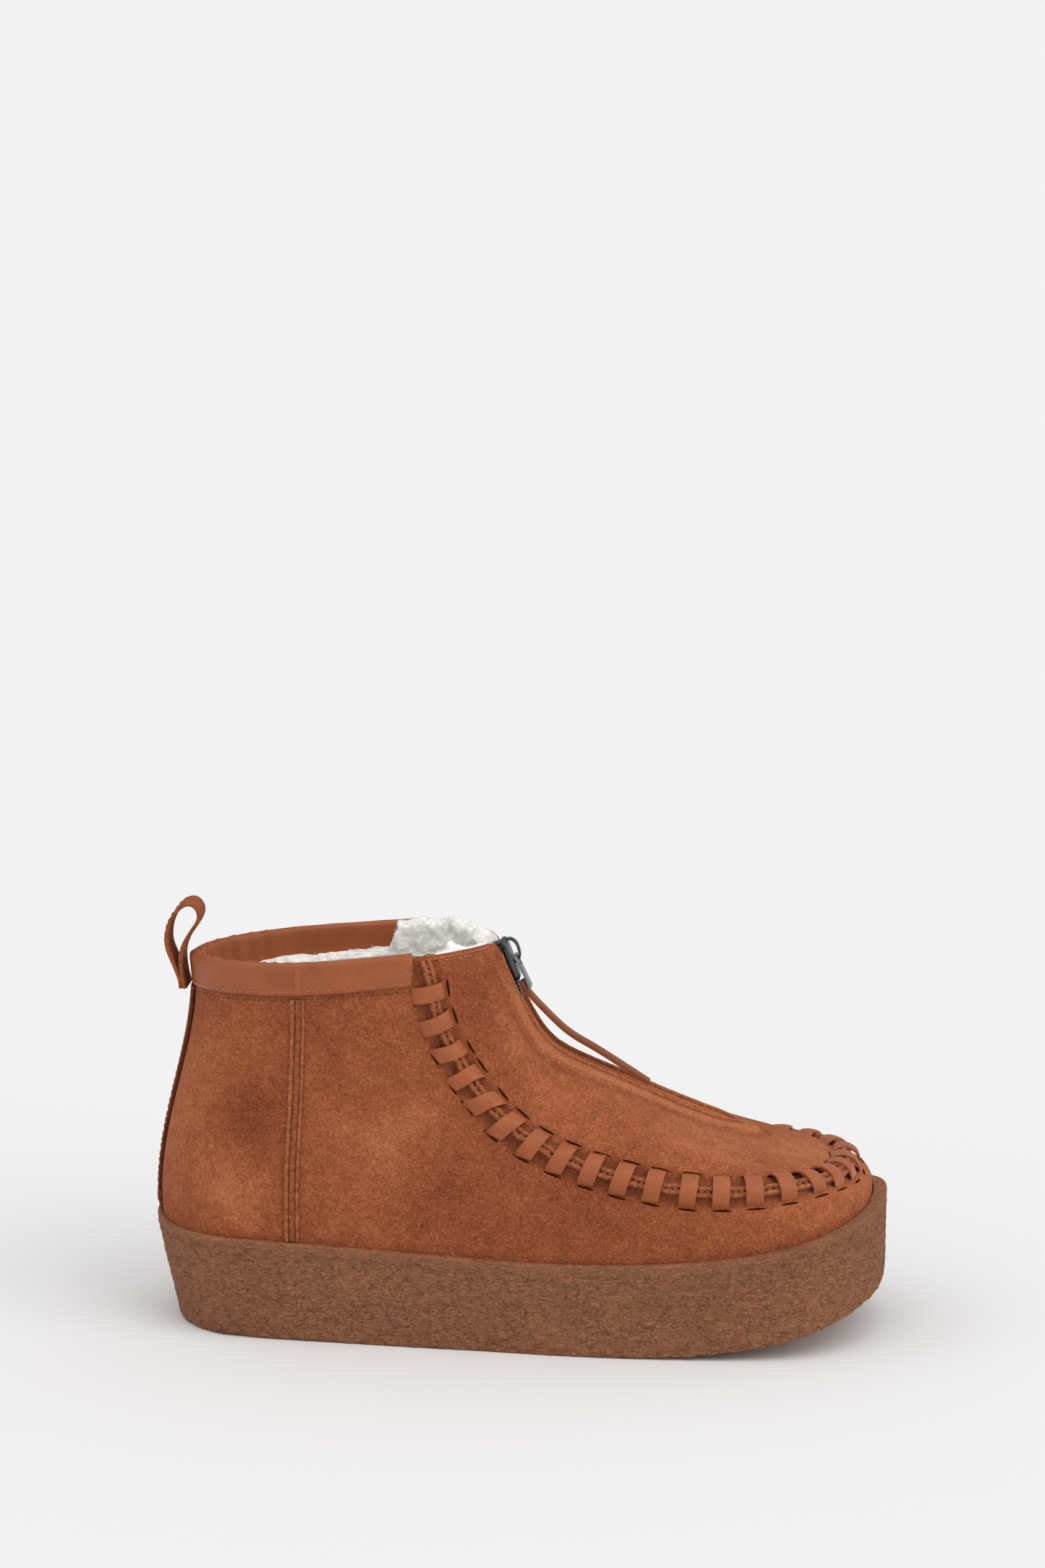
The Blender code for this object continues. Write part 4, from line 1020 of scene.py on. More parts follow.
class BOOT_OT_lining(bpy.types.Operator):
    """Fleece lining inside the upper, with loose fibres at the collar"""

    bl_idname = "boot.lining"
    bl_label = "Fleece lining"

    def execute(self, context):
        sizes = context.scene.boot_sizes
        piece = self.sheet(sizes.pile)
        finish_piece(piece, material=fleece_material())
        footbed = self.footbed()
        finish_piece(footbed, nodes=("insole",), material=fleece_material())
        template = self.fibre_template(sizes.fibre)
        for name, low, high, count, size in (
            ("fleece_fibres_collar", 0.121, 0.160, 6800, 0.68),
            ("fleece_fibres_shaft", 0.030, 0.121, 6200, 1.7),
        ):
            fibres = self.fibres(name, (piece, footbed), template, (low, high), count, size)
            finish_piece(fibres, material=fleece_material())
        return {"FINISHED"}

    def rim(self):
        """Search tree of the rim, and the bare width at each of its points."""
        spots = []
        for column in (1, 2):
            rows = [(row[0], row[column], row[3], row[column + 3]) for row in RIM_ROWS]
            for a, b in zip(rows, rows[1:]):
                for i in range(8):
                    mixed = [a[k] + (b[k] - a[k]) * i / 8 for k in range(4)]
                    spots.append((Vector(mixed[:3]) * MM, mixed[3] * MM))
        tree = KDTree(len(spots))
        for index, (spot, _) in enumerate(spots):
            tree.insert(spot, index)
        tree.balance()
        return tree, [bare for _, bare in spots]

    def sheet(self, pile):
        """Inner wall of the upper, thickened inwards into an uneven pile."""
        source = dressed("upper", "fleece_lining", levels=2)
        mesh = source.data
        work = bmesh.new()
        work.from_mesh(mesh)
        layer = work.verts.layers.float.new("pile")
        work.normal_update()
        outer = [
            face
            for face in work.faces
            if face.normal.dot(face.calc_center_median() - heart(face.calc_center_median())) > -0.0005
        ]
        bmesh.ops.delete(work, geom=outer, context="FACES")
        tree, bare = self.rim()
        near = [face for face in work.faces if tree.find(face.calc_center_median())[2] < 16 * MM]
        edges = {edge for face in near for edge in face.edges}
        bmesh.ops.subdivide_edges(work, edges=list(edges), cuts=2, use_grid_fill=True)
        grown = bmesh.ops.extrude_face_region(work, geom=list(work.faces))
        work.normal_update()
        front = [part for part in grown["geom"] if isinstance(part, bmesh.types.BMVert)]
        ways = {vertex: vertex.normal.copy() for vertex in work.verts}
        for vertex in front:
            core = heart(vertex.co)
            way = (core - vertex.co).normalized()
            inward = ways[vertex]
            if inward.dot(way) < 0:
                inward = -inward
            inward = (inward + way * 0.7).normalized()
            _, index, apart = tree.find(vertex.co)
            fuzz = 1.1 * MM * noise.noise(vertex.co * 260)
            share = min(1.0, max(0.0, (apart + fuzz - bare[index]) / (2.6 * MM)))
            share = share * share * (3 - 2 * share)
            vertex[layer] = share
            curl = noise.fractal(vertex.co * 190, 0.6, 2.1, 3) * 0.22
            lump = noise.noise(vertex.co * 75) * 0.25
            depth = 0.25 * MM + pile * share * (0.9 + curl + lump)
            vertex.co += inward * max(0.2 * MM, depth)
            if bare[index] < 0.6 * MM:
                vertex.co.z += 0.9 * MM * max(0.0, 1.0 - apart / (5 * MM)) * (0.5 + share)
        bmesh.ops.recalc_face_normals(work, faces=work.faces)
        work.to_mesh(mesh)
        work.free()
        mesh.update()
        return source

    def footbed(self):
        """Insole with its fleece top."""
        piece = dressed("insole", "footbed_fleece", levels=2)
        mesh = piece.data
        places = points_of(mesh)
        normals = normals_of(mesh)
        for index, place in enumerate(places):
            if normals[index][2] > 0.5:
                spot = Vector(place)
                lift = 2.4 + 1.3 * noise.fractal(spot * 190, 0.6, 2.1, 3) + 0.6 * noise.noise(spot * 80)
                places[index][2] += lift * MM
        set_points(mesh, places)
        return piece

    def fibres(self, name, pieces, template, heights, count, size):
        """Loose fibres standing on the pile between two heights."""
        draw = random.Random(SEED)
        matrices = []
        spots = []
        for piece in pieces:
            mesh = piece.data
            pile = np.ones(len(mesh.vertices), np.float32)
            if "pile" in mesh.attributes:
                mesh.attributes["pile"].data.foreach_get("value", pile)
            for face in mesh.polygons:
                inner = face.normal.dot(heart(face.center) - face.center) > 0 or face.normal.z > 0.6
                high = heights[0] < face.center.z < heights[1]
                if inner and high and face.center.x < 0.02 and min(pile[index] for index in face.vertices) > 0.12:
                    spots.append((mesh, face))
        weights = [face.area for _, face in spots]
        for mesh, face in draw.choices(spots, weights, k=count):
            corners = [mesh.vertices[index].co for index in face.vertices]
            shares = [draw.random() + 0.05 for _ in corners]
            total = sum(shares)
            place = sum((corner * share for corner, share in zip(corners, shares)), Vector()) / total
            lean = Vector((draw.uniform(-1, 1), draw.uniform(-1, 1), draw.uniform(-0.6, 1.0)))
            way = (Vector(face.normal) + lean * 0.8 + Vector((0, 0, 0.25))).normalized()
            side = way.orthogonal().normalized()
            side.rotate(Matrix.Rotation(draw.uniform(0, math.tau), 3, way))
            matrix = laid(place - way * 0.2 * MM, side, way)
            matrices.append(matrix @ Matrix.Scale(size * draw.uniform(0.55, 1.15), 4))
        return repeated(name, template, matrices)

    def fibre_template(self, length):
        """Curled three-sided fibre that stands on the XY plane."""
        corners = []
        levels = 5
        for i in range(levels):
            share = i / (levels - 1)
            radius = 0.12 * MM * (1 - share) ** 0.6 + 0.03 * MM
            bend = 0.42 * length * share**1.6
            turn = 2.4 * share
            centre = (bend * math.cos(turn), bend * math.sin(turn), length * share * (1 - 0.3 * share))
            for j in range(3):
                angle = math.tau * j / 3
                corners.append((centre[0] + radius * math.cos(angle), centre[1] + radius * math.sin(angle), centre[2]))
        faces = [[2, 1, 0]]
        for i in range(levels - 1):
            for j in range(3):
                k = (j + 1) % 3
                faces.append([i * 3 + j, i * 3 + k, i * 3 + 3 + k, i * 3 + 3 + j])
        top = (levels - 1) * 3
        faces.append([top, top + 1, top + 2])
        return np.array(corners), faces


class BOOT_OT_sole(bpy.types.Operator):
    """Crepe platform with its wrinkled wall and smoother rim"""

    bl_idname = "boot.sole"
    bl_label = "Crepe sole"

    def execute(self, context):
        sizes = context.scene.boot_sizes
        piece = dressed("outsole", "sole_crepe", levels=3, crease=0.72, sharp=30.0, fit=False)
        mesh = piece.data
        places = points_of(mesh)
        normals = normals_of(mesh)
        tree = self.rim_tree(places, normals)
        rim = np.zeros(len(places))
        for index, place in enumerate(places):
            spot = Vector(place)
            if tree is not None:
                near, _, _ = tree.find((spot.x, spot.y, 0.0))
                depth = self.tops[tree.find((spot.x, spot.y, 0.0))[1]] - spot.z
                rim[index] = 1.0 - min(1.0, max(0.0, (depth - 2.2 * MM) / (1.2 * MM)))
            if normals[index][2] > 0.8:
                rim[index] = 1.0
            relief = noise.fractal(Vector((spot.x, spot.y, spot.z * 1.5)) * 420, 0.7, 2.0, 2)
            keep = 1.0 - 0.75 * rim[index]
            if abs(normals[index][2]) > 0.95 and spot.z < 0.001:
                keep = 0.0
            places[index] += normals[index] * sizes.crepe_relief * relief * keep
        places[:, 2] = np.maximum(places[:, 2], 0.0)
        set_points(mesh, places)
        set_value(mesh, "rim", rim)
        finish_piece(piece, nodes=("outsole",), material=crepe_material())
        return {"FINISHED"}

    def rim_tree(self, places, normals):
        """Search tree, seen from above, of the wall's highest points."""
        cells_seen = {}
        for place in places:
            angle = int(math.degrees(math.atan2(place[1], place[0] * 0.6)) // 3)
            best = cells_seen.get(angle)
            if best is None or place[2] > best[2]:
                cells_seen[angle] = place
        tops = list(cells_seen.values())
        tree = KDTree(len(tops))
        self.tops = []
        for index, place in enumerate(tops):
            tree.insert((place[0], place[1], 0.0), index)
            self.tops.append(place[2])
        tree.balance()
        return tree


class BOOT_OT_collar(bpy.types.Operator):
    """Leather collar band with its stitching and wrinkled facing"""

    bl_idname = "boot.collar"
    bl_label = "Collar band"

    def execute(self, context):
        colours = context.scene.boot_colours
        piece = dressed("collar_band", "collar_leather", levels=2, crease=0.55, sharp=45.0)
        mesh = piece.data
        places = points_of(mesh)
        normals = normals_of(mesh)
        for index, place in enumerate(places):
            spot = Vector(place)
            inner = normals[index] @ np.array(heart(spot) - spot)
            around = math.atan2(spot.y, -(spot.x + 0.066))
            if inner > 0.004:
                back = max(0.0, 1.0 - abs(around) / 1.5)
                ripple = math.sin(around * 50 + 2.6 * noise.noise(spot * 60))
                places[index] += normals[index] * 0.8 * MM * back * ripple
            places[index] += normals[index] * 0.12 * MM * noise.noise(spot * 110)
        set_points(mesh, places)
        finish_piece(piece, nodes=("collar_band",), material=leather_material())
        band = Skin(piece)
        upper = outer_skin()
        light = thread_material("Thread", colours.thread)
        dark = thread_material("Hole shade thread", colours.thread_hole_shade)
        for column, side in ((1, "outer"), (2, "inner")):
            guide = rim_path(column, 0, COLLAR_COUNT, drop=9.1)
            row = [on_outer(band, spot) for spot in guide]
            stitch_row("band_stitches_" + side, row, light)
            # The dark stitches below the band stand for a row of stitch holes; their dark colour is painted shade.
            guide = rim_path(column, 0, COLLAR_COUNT, drop=12.4)
            row = [on_outer(upper, spot) for spot in guide]
            stitch_row("band_under_stitches_" + side, row, dark, lift=0.05, pitch=2.3 * MM, length=1.5 * MM)
            guide = rim_path(column, COLLAR_COUNT, FRONT_START, drop=2.0)
            row = [on_outer(upper, spot) for spot in guide]
            stitch_row("front_collar_stitches_" + side, row, light)
            lip = [on_outer(upper, spot) for spot in rim_path(column, COLLAR_COUNT, FRONT_START, drop=0.5)]
            # The bead's third column is painted shade, strongest at the lip's foot.
            bead = ((-0.5, -0.6, 0.4), (-0.45, 0.2, 0.1), (0.0, 0.42, 0.0), (0.45, 0.2, 0.1), (0.5, -0.6, 0.4))
            edge = sweep("collar_lip_" + side, lip[::2], bead, wobble=0.1)
            finish_piece(edge, material=edge_material("Lip raw edge", 0.55), angle=60)
            join = between_rows([(-79.2, row_y, z) for row_y, z in self.join_rows(column)], 0.8 * MM)
            path = [on_outer(band, spot) for spot in join]
            flap = ((-1.3, -0.3, 0.0), (-1.2, 0.2, 0.0), (1.1, 0.22, 0.0), (1.3, -0.3, 0.0))
            strip = sweep("band_join_" + side, path, flap)
            finish_piece(strip, material=leather_material("Pale leather", 1.12), angle=50)
            x, y, z = RIM_ROWS[COLLAR_COUNT - 1][0], RIM_ROWS[COLLAR_COUNT - 1][column], 147.0
            upright = between_rows([(x - 1.6, y, z - 0.5), (x - 1.8, y, z - 8.6)], 0.5 * MM)
            row = [on_outer(band, spot) for spot in upright]
            stitch_row("band_end_stitches_" + side, row, light)
        return {"FINISHED"}

    def join_rows(self, column):
        """Heights of the band's butt join on one side, with the wall's place there."""
        wall = RIM_ROWS[4][column]
        return ((wall, 143.5), (wall * 1.01, 139.0), (wall * 1.02, 136.0), (wall * 1.03, 133.4))


class BOOT_OT_seams(bpy.types.Operator):
    """Apron ridge, side seams and back stay"""

    bl_idname = "boot.seams"
    bl_label = "Seams"

    def execute(self, context):
        sizes = context.scene.boot_sizes
        colours = context.scene.boot_colours
        half = sizes.ridge_width / 2 / MM
        top = sizes.ridge_height / MM
        path = seam_path(0.8 * MM)
        # The third column is painted shade: darkest in the groove between the two plies and at the ridge's foot.
        profile = (
            (-half, -0.6, 0.6),
            (-half, top * 0.55, 0.2),
            (-half * 0.86, top * 0.92, 0.0),
            (-half * 0.5, top, 0.0),
            (-half * 0.2, top * 0.9, 0.25),
            (0.0, top * 0.62, 0.9),
            (half * 0.2, top * 0.9, 0.25),
            (half * 0.5, top, 0.0),
            (half * 0.86, top * 0.92, 0.0),
            (half, top * 0.55, 0.2),
            (half, -0.6, 0.6),
        )
        ridge = sweep("apron_ridge", path, profile, wobble=0.10)
        finish_piece(ridge, nodes=("apron_seam",), material=edge_material("Apron raw edge", 0.40), angle=60)
        thread = thread_material("Thread", colours.thread)
        stitch_row("apron_ridge_stitches", path, thread, lift=top * 0.78, length=1.7 * MM, pitch=2.5 * MM, tilt=0.0)
        self.side_seams()
        self.back_stay(thread)
        return {"FINISHED"}

    def side_seams(self):
        """Two raw edges with painted shade in the gap between them and at their feet, up each side."""
        skin = outer_skin()
        # The third column is painted shade: darkest at the edges of the gap between the two plies and at the seam's
        # feet.
        profile = (
            (-2.9, -0.5, 0.8),
            (-2.8, 0.6, 0.5),
            (-2.3, 1.0, 0.0),
            (-1.7, 0.95, 0.1),
            (-1.3, 0.5, 0.8),
            (-0.9, 0.55, 0.25),
            (0.6, 0.6, 0.2),
            (1.1, 0.55, 0.9),
            (1.4, 1.1, 0.15),
            (2.0, 1.35, 0.0),
            (2.6, 1.2, 0.0),
            (2.9, 0.6, 0.6),
            (3.0, -0.5, 0.9),
        )
        for column, side, node in ((1, "outer", "side_seam_lateral"), (2, "inner", "side_seam_medial")):
            guide = between_rows([(row[0], row[column], row[3]) for row in SIDE_SEAM_ROWS], 0.8 * MM)
            path = [on_outer(skin, spot) for spot in guide]
            piece = sweep("side_seam_" + side, path, profile, wobble=0.12)
            finish_piece(piece, nodes=(node,), material=edge_material("Apron raw edge", 0.40), angle=60)

    def back_stay(self, thread):
        """Suede strip down the heel with raw edges, dark in their own fibres and with painted shade that is strongest
        at their foot, and two rows of stitches.
        """
        piece = dressed("back_stay", "back_stay_suede", levels=2, crease=0.6)
        places = points_of(piece.data)
        foot = np.clip((places[:, 2].min() + 2.0 * MM - places[:, 2]) / (2.0 * MM), 0.0, 1.0)
        places[:, 2] -= 1.8 * MM * foot
        places[:, 0] += 0.5 * MM * foot
        set_points(piece.data, places)
        set_value(piece.data, "nap_light_and_shade", np.full(len(places), 0.25))
        finish_piece(piece, nodes=("back_stay",), material=suede_material())
        skin = Skin(piece)
        low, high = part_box("back_stay")
        # The bead's third column is painted shade over the whole bead, strongest at its foot.
        bead = ((-0.5, -1.0, 0.8), (-0.45, 0.0, 0.4), (0.0, 0.12, 0.3), (0.45, 0.0, 0.4), (0.5, -1.0, 0.8))
        for sign, side in ((-1, "outer"), (1, "inner")):
            for inset, kind in ((0.35, "edge"), (2.2, "stitches")):
                y = sign * ((high.y - low.y) / 2 / MM - inset) + (low.y + high.y) / 2 / MM
                heights = np.linspace(low.z / MM + 1.2, high.z / MM - 1.2, 9)
                rows = []
                for z in heights:
                    hit = skin.tree.ray_cast(Vector((-0.2, y * MM, z * MM)), Vector((1, 0, 0)))
                    if hit[0] is not None:
                        rows.append(tuple(hit[0] / MM))
                path = [skin.at(spot) for spot in between_rows(rows, 0.8 * MM)]
                if kind == "edge":
                    edge = sweep("stay_edge_" + side, path, bead, wobble=0.1)
                    finish_piece(edge, material=edge_material("Stay raw edge", 0.22), angle=60)
                else:
                    stitch_row("stay_stitches_" + side, path, thread)


class BOOT_OT_laces(bpy.types.Operator):
    """Whip laces over the apron ridge, with dark beads of painted shade at the slits that they go down into"""

    bl_idname = "boot.laces"
    bl_label = "Whip laces"

    def course(self, path, middle):
        """Way that the apron seam runs at a lace."""
        near = min(range(len(path)), key=lambda index: (path[index] - middle).length)
        return (path[min(near + 4, len(path) - 1)] - path[max(near - 4, 0)]).normalized()

    def execute(self, context):
        sizes = context.scene.boot_sizes
        skin = outer_skin()
        slit_shadows = []
        leather = leather_material("Lacing leather", 1.10, 1100.0, 0.34)
        path = [place for place, _ in seam_path(1.0 * MM)]
        for number, node in enumerate(LACES, start=1):
            piece = dressed(node, "lace_%02d" % number, levels=2, crease=0.75, sharp=50.0)
            places = points_of(piece.data)
            middle = places.mean(axis=0)
            _, _, axes = np.linalg.svd(places - middle, full_matrices=False)
            along = (places - middle) @ axes[0]
            course = self.course(path, Vector(middle))
            if course.dot(Vector(axes[1])) < 0:
                course = -course
            slant = course.dot(Vector(axes[0])) / max(0.5, course.dot(Vector(axes[1])))
            across = (places - middle) @ axes[1]
            places += np.outer(across * max(-0.6, min(0.6, slant)), axes[0])
            ends = []
            for stop in (along.min(), along.max()):
                spot = Vector(middle + axes[0] * stop * 0.90)
                place, normal = on_outer(skin, spot)
                ends.append((place, normal))
                # A dark bead of painted shade lies on the suede at each lace end, standing for the shade inside its
                # slit.
                slit_shadows.append(laid(place + normal * 0.05 * MM, course, normal))
            lean = noise.noise(Vector(middle) * 300)
            press = 0.7 * MM * min(1.0, max(0.0, (middle[0] - 0.106) / 0.012))
            for index in range(len(places)):
                share = along[index] / (along.min() if along[index] < 0 else along.max())
                normal = ends[0][1] if along[index] < 0 else ends[1][1]
                sink = max(0.0, (share - 0.72) / 0.28) ** 1.4
                across = (places[index] - middle) @ axes[1]
                cup = 0.10 * MM * (1 - (across / (3.1 * MM)) ** 2) * (1 + lean)
                move = np.array(normal) * (cup - press - sizes.lace_sink * sink)
                places[index] += move - axes[0] * np.sign(along[index]) * 0.35 * MM * sink
            set_points(piece.data, places)
            finish_piece(piece, nodes=(node,), material=leather, angle=50)
        # The slit beads are painted shade.
        template = bead_template(sizes.slit_length, sizes.slit_width / 2, 0.45, 10, 6)
        piece = repeated("lace_slits", template, slit_shadows)
        finish_piece(piece, material=slit_shadow_material())
        return {"FINISHED"}


class BOOT_OT_zip(bpy.types.Operator):
    """Zip with its tape, teeth, slider, tab, strap and the stitching beside it"""

    bl_idname = "boot.zip"
    bl_label = "Zip"

    def execute(self, context):
        sizes = context.scene.boot_sizes
        colours = context.scene.boot_colours
        tape = dressed("zip_chain", "zip_tape", levels=1, crease=0.7, sharp=45.0)
        self.sink(tape)
        finish_piece(tape, nodes=("zip_chain",), material=tape_material(), angle=50)
        gunmetal = metal_material("Gunmetal", colours.metal, 0.30)
        worn = metal_material("Worn tab metal", colours.tab_metal, 0.34)
        self.teeth(tape, sizes.tooth_pitch, gunmetal)
        for node, name, body, material in (
            ("zip_slider", "zip_slider_metal", BOOT, gunmetal),
            ("zip_tab", "zip_tab_metal", PULL, worn),
        ):
            piece = dressed(node, name, levels=2, crease=0.82, sharp=30.0, fit=False)
            finish_piece(piece, body, (node,), material, angle=45)
        strap = dressed("zip_strap", "zip_strap_leather", levels=2, crease=0.7, sharp=45.0)
        places = points_of(strap.data)
        places[:, 1] += np.array([0.25 * MM * noise.noise(Vector((place[0], 0, 0)) * 60) for place in places])
        set_points(strap.data, places)
        finish_piece(strap, PULL, ("zip_strap",), leather_material("Strap leather", 0.72, 1300.0, 0.6), angle=50)
        self.lips()
        self.side_stitches(thread_material("Thread", colours.thread))
        return {"FINISHED"}

    def middle_line(self, step):
        """Middle of the front opening, with the way out of the boot at each point."""
        rows = [(row[0], (row[1] + row[2]) / 2, row[3]) for row in RIM_ROWS[FRONT_START:-1]]
        guide = between_rows(rows, step)
        line = []
        for spot, after in zip(guide, guide[1:]):
            run = (after - spot).normalized()
            outward = run.cross(Vector((0, 1, 0))).normalized()
            line.append((spot, run, outward if outward.z > 0 else -outward))
        return line

    def sink(self, tape):
        """Lowers the tape between the lips, from below the slider to its end."""
        line = self.middle_line(1.0 * MM)
        tree = KDTree(len(line))
        for index, (spot, _, _) in enumerate(line):
            tree.insert(spot, index)
        tree.balance()
        places = points_of(tape.data)
        for index, place in enumerate(places):
            _, near, _ = tree.find(place)
            share = min(1.0, max(0.0, (0.128 - place[2]) / 0.010))
            places[index] -= np.array(line[near][2]) * 1.1 * MM * share
        set_points(tape.data, places)

    def lips(self):
        """Raw suede lips along both edges of the zip."""
        skin = outer_skin()
        # The third column is painted shade, strongest at the lip's feet.
        profile = (
            (-0.9, -0.8, 0.5),
            (-0.85, 0.8, 0.1),
            (-0.4, 1.35, 0.0),
            (0.3, 1.3, 0.0),
            (0.8, 0.7, 0.1),
            (0.9, -0.8, 0.5),
        )
        for column, sign, side in ((1, -1, "outer"), (2, 1, "inner")):
            path = []
            tall = []
            for spot in rim_path(column, FRONT_START, len(RIM_ROWS), step=0.8 * MM)[3:]:
                place, _ = on_outer(skin, spot)
                path.append(on_outer(skin, skin.walk(place, Vector((0, sign, 0)), 0.9 * MM)))
                share = min(1.0, max(0.0, (0.131 - spot.z) / 0.012))
                fade = min(1.0, max(0.0, (0.088 - spot.x) / 0.014))
                tall.append(0.35 + 0.65 * share * fade)
            piece = sweep("zip_lip_" + side, path, profile, wobble=0.06, heights=tall)
            finish_piece(piece, material=edge_material("Lip raw edge", 0.55), angle=60)

    def teeth(self, tape, pitch, material):
        """Interlocked teeth down the middle of the zip."""
        skin = Skin(tape)
        deselect()
        bpy.ops.mesh.primitive_cube_add(size=1.0)
        piece = bpy.context.active_object
        bpy.ops.object.mode_set(mode="EDIT")
        bpy.ops.mesh.select_all(action="SELECT")
        bpy.ops.transform.resize(value=(0.8 * MM, 2.7 * MM, 1.1 * MM))
        bpy.ops.mesh.bevel(offset=0.22 * MM, segments=2, affect="EDGES")
        bpy.ops.object.mode_set(mode="OBJECT")
        template = take_template(piece)
        matrices = []
        for index, (spot, run, outward) in enumerate(self.middle_line(pitch / 2)):
            hit = skin.tree.ray_cast(spot + outward * 0.006, -outward, 0.02)
            if hit[0] is None:
                continue
            side = 1 if index % 2 else -1
            place = hit[0] + outward * 0.35 * MM + Vector((0, side * 0.75 * MM, 0))
            matrices.append(laid(place, run, outward))
        teeth = repeated("zip_teeth", template, matrices)
        finish_piece(teeth, material=material, angle=40)

    def side_stitches(self, thread):
        """Two rows of stitches down both sides of the zip and round its lower end."""
        skin = outer_skin()
        for column, sign, side in ((1, -1, "outer"), (2, 1, "inner")):
            edge = rim_path(column, FRONT_START, len(RIM_ROWS), step=1.0 * MM)
            for inset, kind in ((2.6, "near"), (9.2, "far")):
                spots = []
                for spot in edge[1:]:
                    place, _ = on_outer(skin, spot)
                    spots.append(skin.walk(place, Vector((0, sign, 0)), inset * MM))
                path = [on_outer(skin, spot) for spot in spots[2:]]
                stitch_row("zip_%s_stitches_%s" % (kind, side), path, thread)


class BOOT_OT_loop(bpy.types.Operator):
    """Pull loop at the heel with its stitching"""

    bl_idname = "boot.loop"
    bl_label = "Pull loop"

    def execute(self, context):
        colours = context.scene.boot_colours
        piece = dressed("pull_loop", "pull_loop_leather", levels=2, crease=0.65, sharp=45.0)
        finish_piece(piece, nodes=("pull_loop",), material=suede_material("Loop leather", 0.95), angle=50)
        skin = Skin(piece)
        thread = thread_material("Thread", colours.thread)
        for y, side in ((-5.2, "outer"), (5.2, "inner")):
            guide = between_rows([(x, y, z) for x, z in LOOP_ROWS], 0.5 * MM)
            path = [skin.at(spot) for spot in guide]
            stitch_row("loop_stitches_" + side, path, thread)
        guide = between_rows([(-130.2, -5.6, 131.0), (-130.2, 0.0, 131.0), (-130.2, 5.6, 131.0)], 0.5 * MM)
        path = [skin.at(spot) for spot in guide]
        stitch_row("loop_foot_stitches", path, thread)
        return {"FINISHED"}


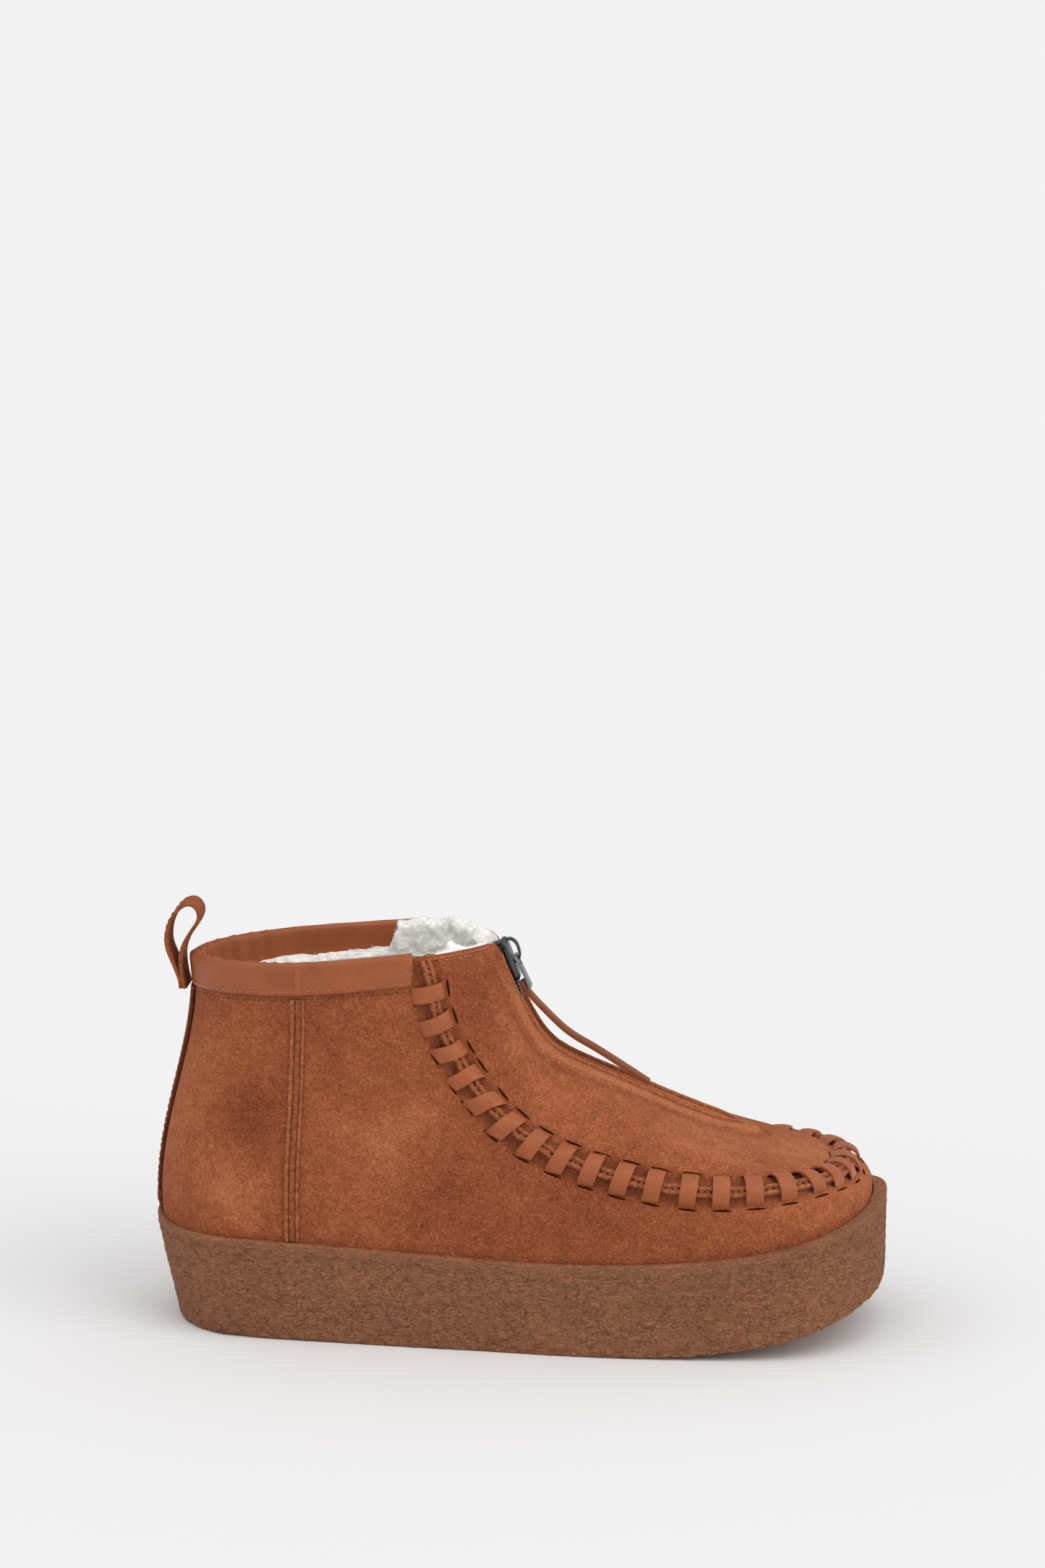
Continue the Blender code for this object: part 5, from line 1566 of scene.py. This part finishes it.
class BOOT_OT_stage(bpy.types.Operator):
    """Pale floor, soft studio light and the photograph's camera"""

    bl_idname = "boot.stage"
    bl_label = "Studio"

    def execute(self, context):
        self.floor(context.scene.boot_colours.floor)
        self.world(context.scene)
        self.lamp("soft_light_heel", (-1.2, -0.9, 1.1), 0.30)
        self.lamp("soft_light_toe", (1.3, -0.7, 0.9), 0.85)
        self.lamp("soft_light_top", (0.25, -0.7, 1.6), 0.57)
        camera = bpy.data.cameras.new("photo_camera")
        camera.lens = CAMERA_LENS
        camera.sensor_width = 36.0
        camera.clip_end = 200.0
        holder = bpy.data.objects.new("photo_camera", camera)
        holder.location = CAMERA_PLACE
        holder.rotation_euler = Vector(CAMERA_WAY).to_track_quat("-Z", "Y").to_euler()
        context.scene.collection.objects.link(holder)
        context.scene.camera = holder
        context.scene.view_settings.view_transform = "Standard"
        return {"FINISHED"}

    def floor(self, colour):
        """Wide plain floor."""
        deselect()
        bpy.ops.mesh.primitive_plane_add(size=60.0, location=(0.0, 0.0, 0.0))
        floor = bpy.context.active_object
        floor.name = "studio_floor"
        material, tree, shader = new_material("Studio floor", Roughness=0.9, Specular_IOR_Level=0.0)
        place = put(tree, "ShaderNodeTexCoord").outputs["Object"]
        cloud = texture(tree, place, 2.0, 1.0)
        tone = blend_colour(tree, cloud, opaque(colour, 0.995), opaque(colour, 1.005))
        tree.links.new(tone, shader.inputs["Base Color"])
        floor.data.materials.append(material)

    def world(self, scene):
        """Even white surround, brighter from both sides and above than from the front."""
        world = bpy.data.worlds.new("Studio surround")
        scene.world = world
        world.use_nodes = True
        tree = world.node_tree
        background = tree.nodes["Background"]
        way = put(tree, "ShaderNodeTexCoord").outputs["Generated"]
        parts = put(tree, "ShaderNodeSeparateXYZ", {"Vector": way})
        side = put(tree, "ShaderNodeMath", {0: parts.outputs["X"]}, operation="ABSOLUTE").outputs[0]
        side = put(tree, "ShaderNodeMath", {0: side, 1: 1.6}, operation="POWER").outputs[0]
        over = spread(tree, parts.outputs["Z"], 0.0, 1.0)
        base = put(tree, "ShaderNodeMath", {0: side, 1: 0.29, 2: 0.335}, operation="MULTIPLY_ADD").outputs[0]
        level = put(tree, "ShaderNodeMath", {0: over, 1: 0.40, 2: base}, operation="MULTIPLY_ADD").outputs[0]
        seen = put(tree, "ShaderNodeLightPath").outputs["Is Camera Ray"]
        level = put(tree, "ShaderNodeMix", {0: seen, 2: level, 3: BACKDROP_LEVEL}, data_type="FLOAT").outputs[0]
        tree.links.new(level, background.inputs["Strength"])
        background.inputs["Color"].default_value = (1.0, 1.0, 1.0, 1.0)

    def lamp(self, name, place, power):
        """Wide soft light that looks at the boot's middle from afar."""
        light = bpy.data.lights.new(name, "SUN")
        light.angle = math.radians(55)
        light.energy = power
        holder = bpy.data.objects.new(name, light)
        holder.location = place
        holder.rotation_euler = (Vector((0.0, 0.0, 0.07)) - Vector(place)).to_track_quat("-Z", "Y").to_euler()
        bpy.context.scene.collection.objects.link(holder)


OPERATORS = (
    BOOT_OT_stage,
    BOOT_OT_upper,
    BOOT_OT_lining,
    BOOT_OT_sole,
    BOOT_OT_collar,
    BOOT_OT_seams,
    BOOT_OT_laces,
    BOOT_OT_zip,
    BOOT_OT_loop,
)


class BOOT_PT_panel(bpy.types.Panel):
    """Lists the boot's steps, sizes and colours"""

    bl_idname = "BOOT_PT_panel"
    bl_label = "Ankle boot"
    bl_space_type = "VIEW_3D"
    bl_region_type = "UI"
    bl_category = "Boot"

    def draw(self, context):
        for operator in OPERATORS:
            self.layout.operator(operator.bl_idname)
        for group in (context.scene.boot_sizes, context.scene.boot_colours):
            for name in group.__annotations__:
                self.layout.prop(group, name)


CLASSES = (BootSizes, BootColours) + OPERATORS + (BOOT_PT_panel,)


def register():
    """Registers the classes and puts the settings on the scene."""
    for item in CLASSES:
        bpy.utils.register_class(item)
    bpy.types.Scene.boot_sizes = PointerProperty(type=BootSizes)
    bpy.types.Scene.boot_colours = PointerProperty(type=BootColours)


def unregister():
    """Takes the settings and the classes away again."""
    del bpy.types.Scene.boot_colours
    del bpy.types.Scene.boot_sizes
    for item in reversed(CLASSES):
        bpy.utils.unregister_class(item)


def main():
    """Runs every step in order."""
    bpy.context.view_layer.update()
    register()
    for operator in OPERATORS:
        group, name = operator.bl_idname.split(".")
        getattr(getattr(bpy.ops, group), name)()


if __name__ == "__main__":
    main()
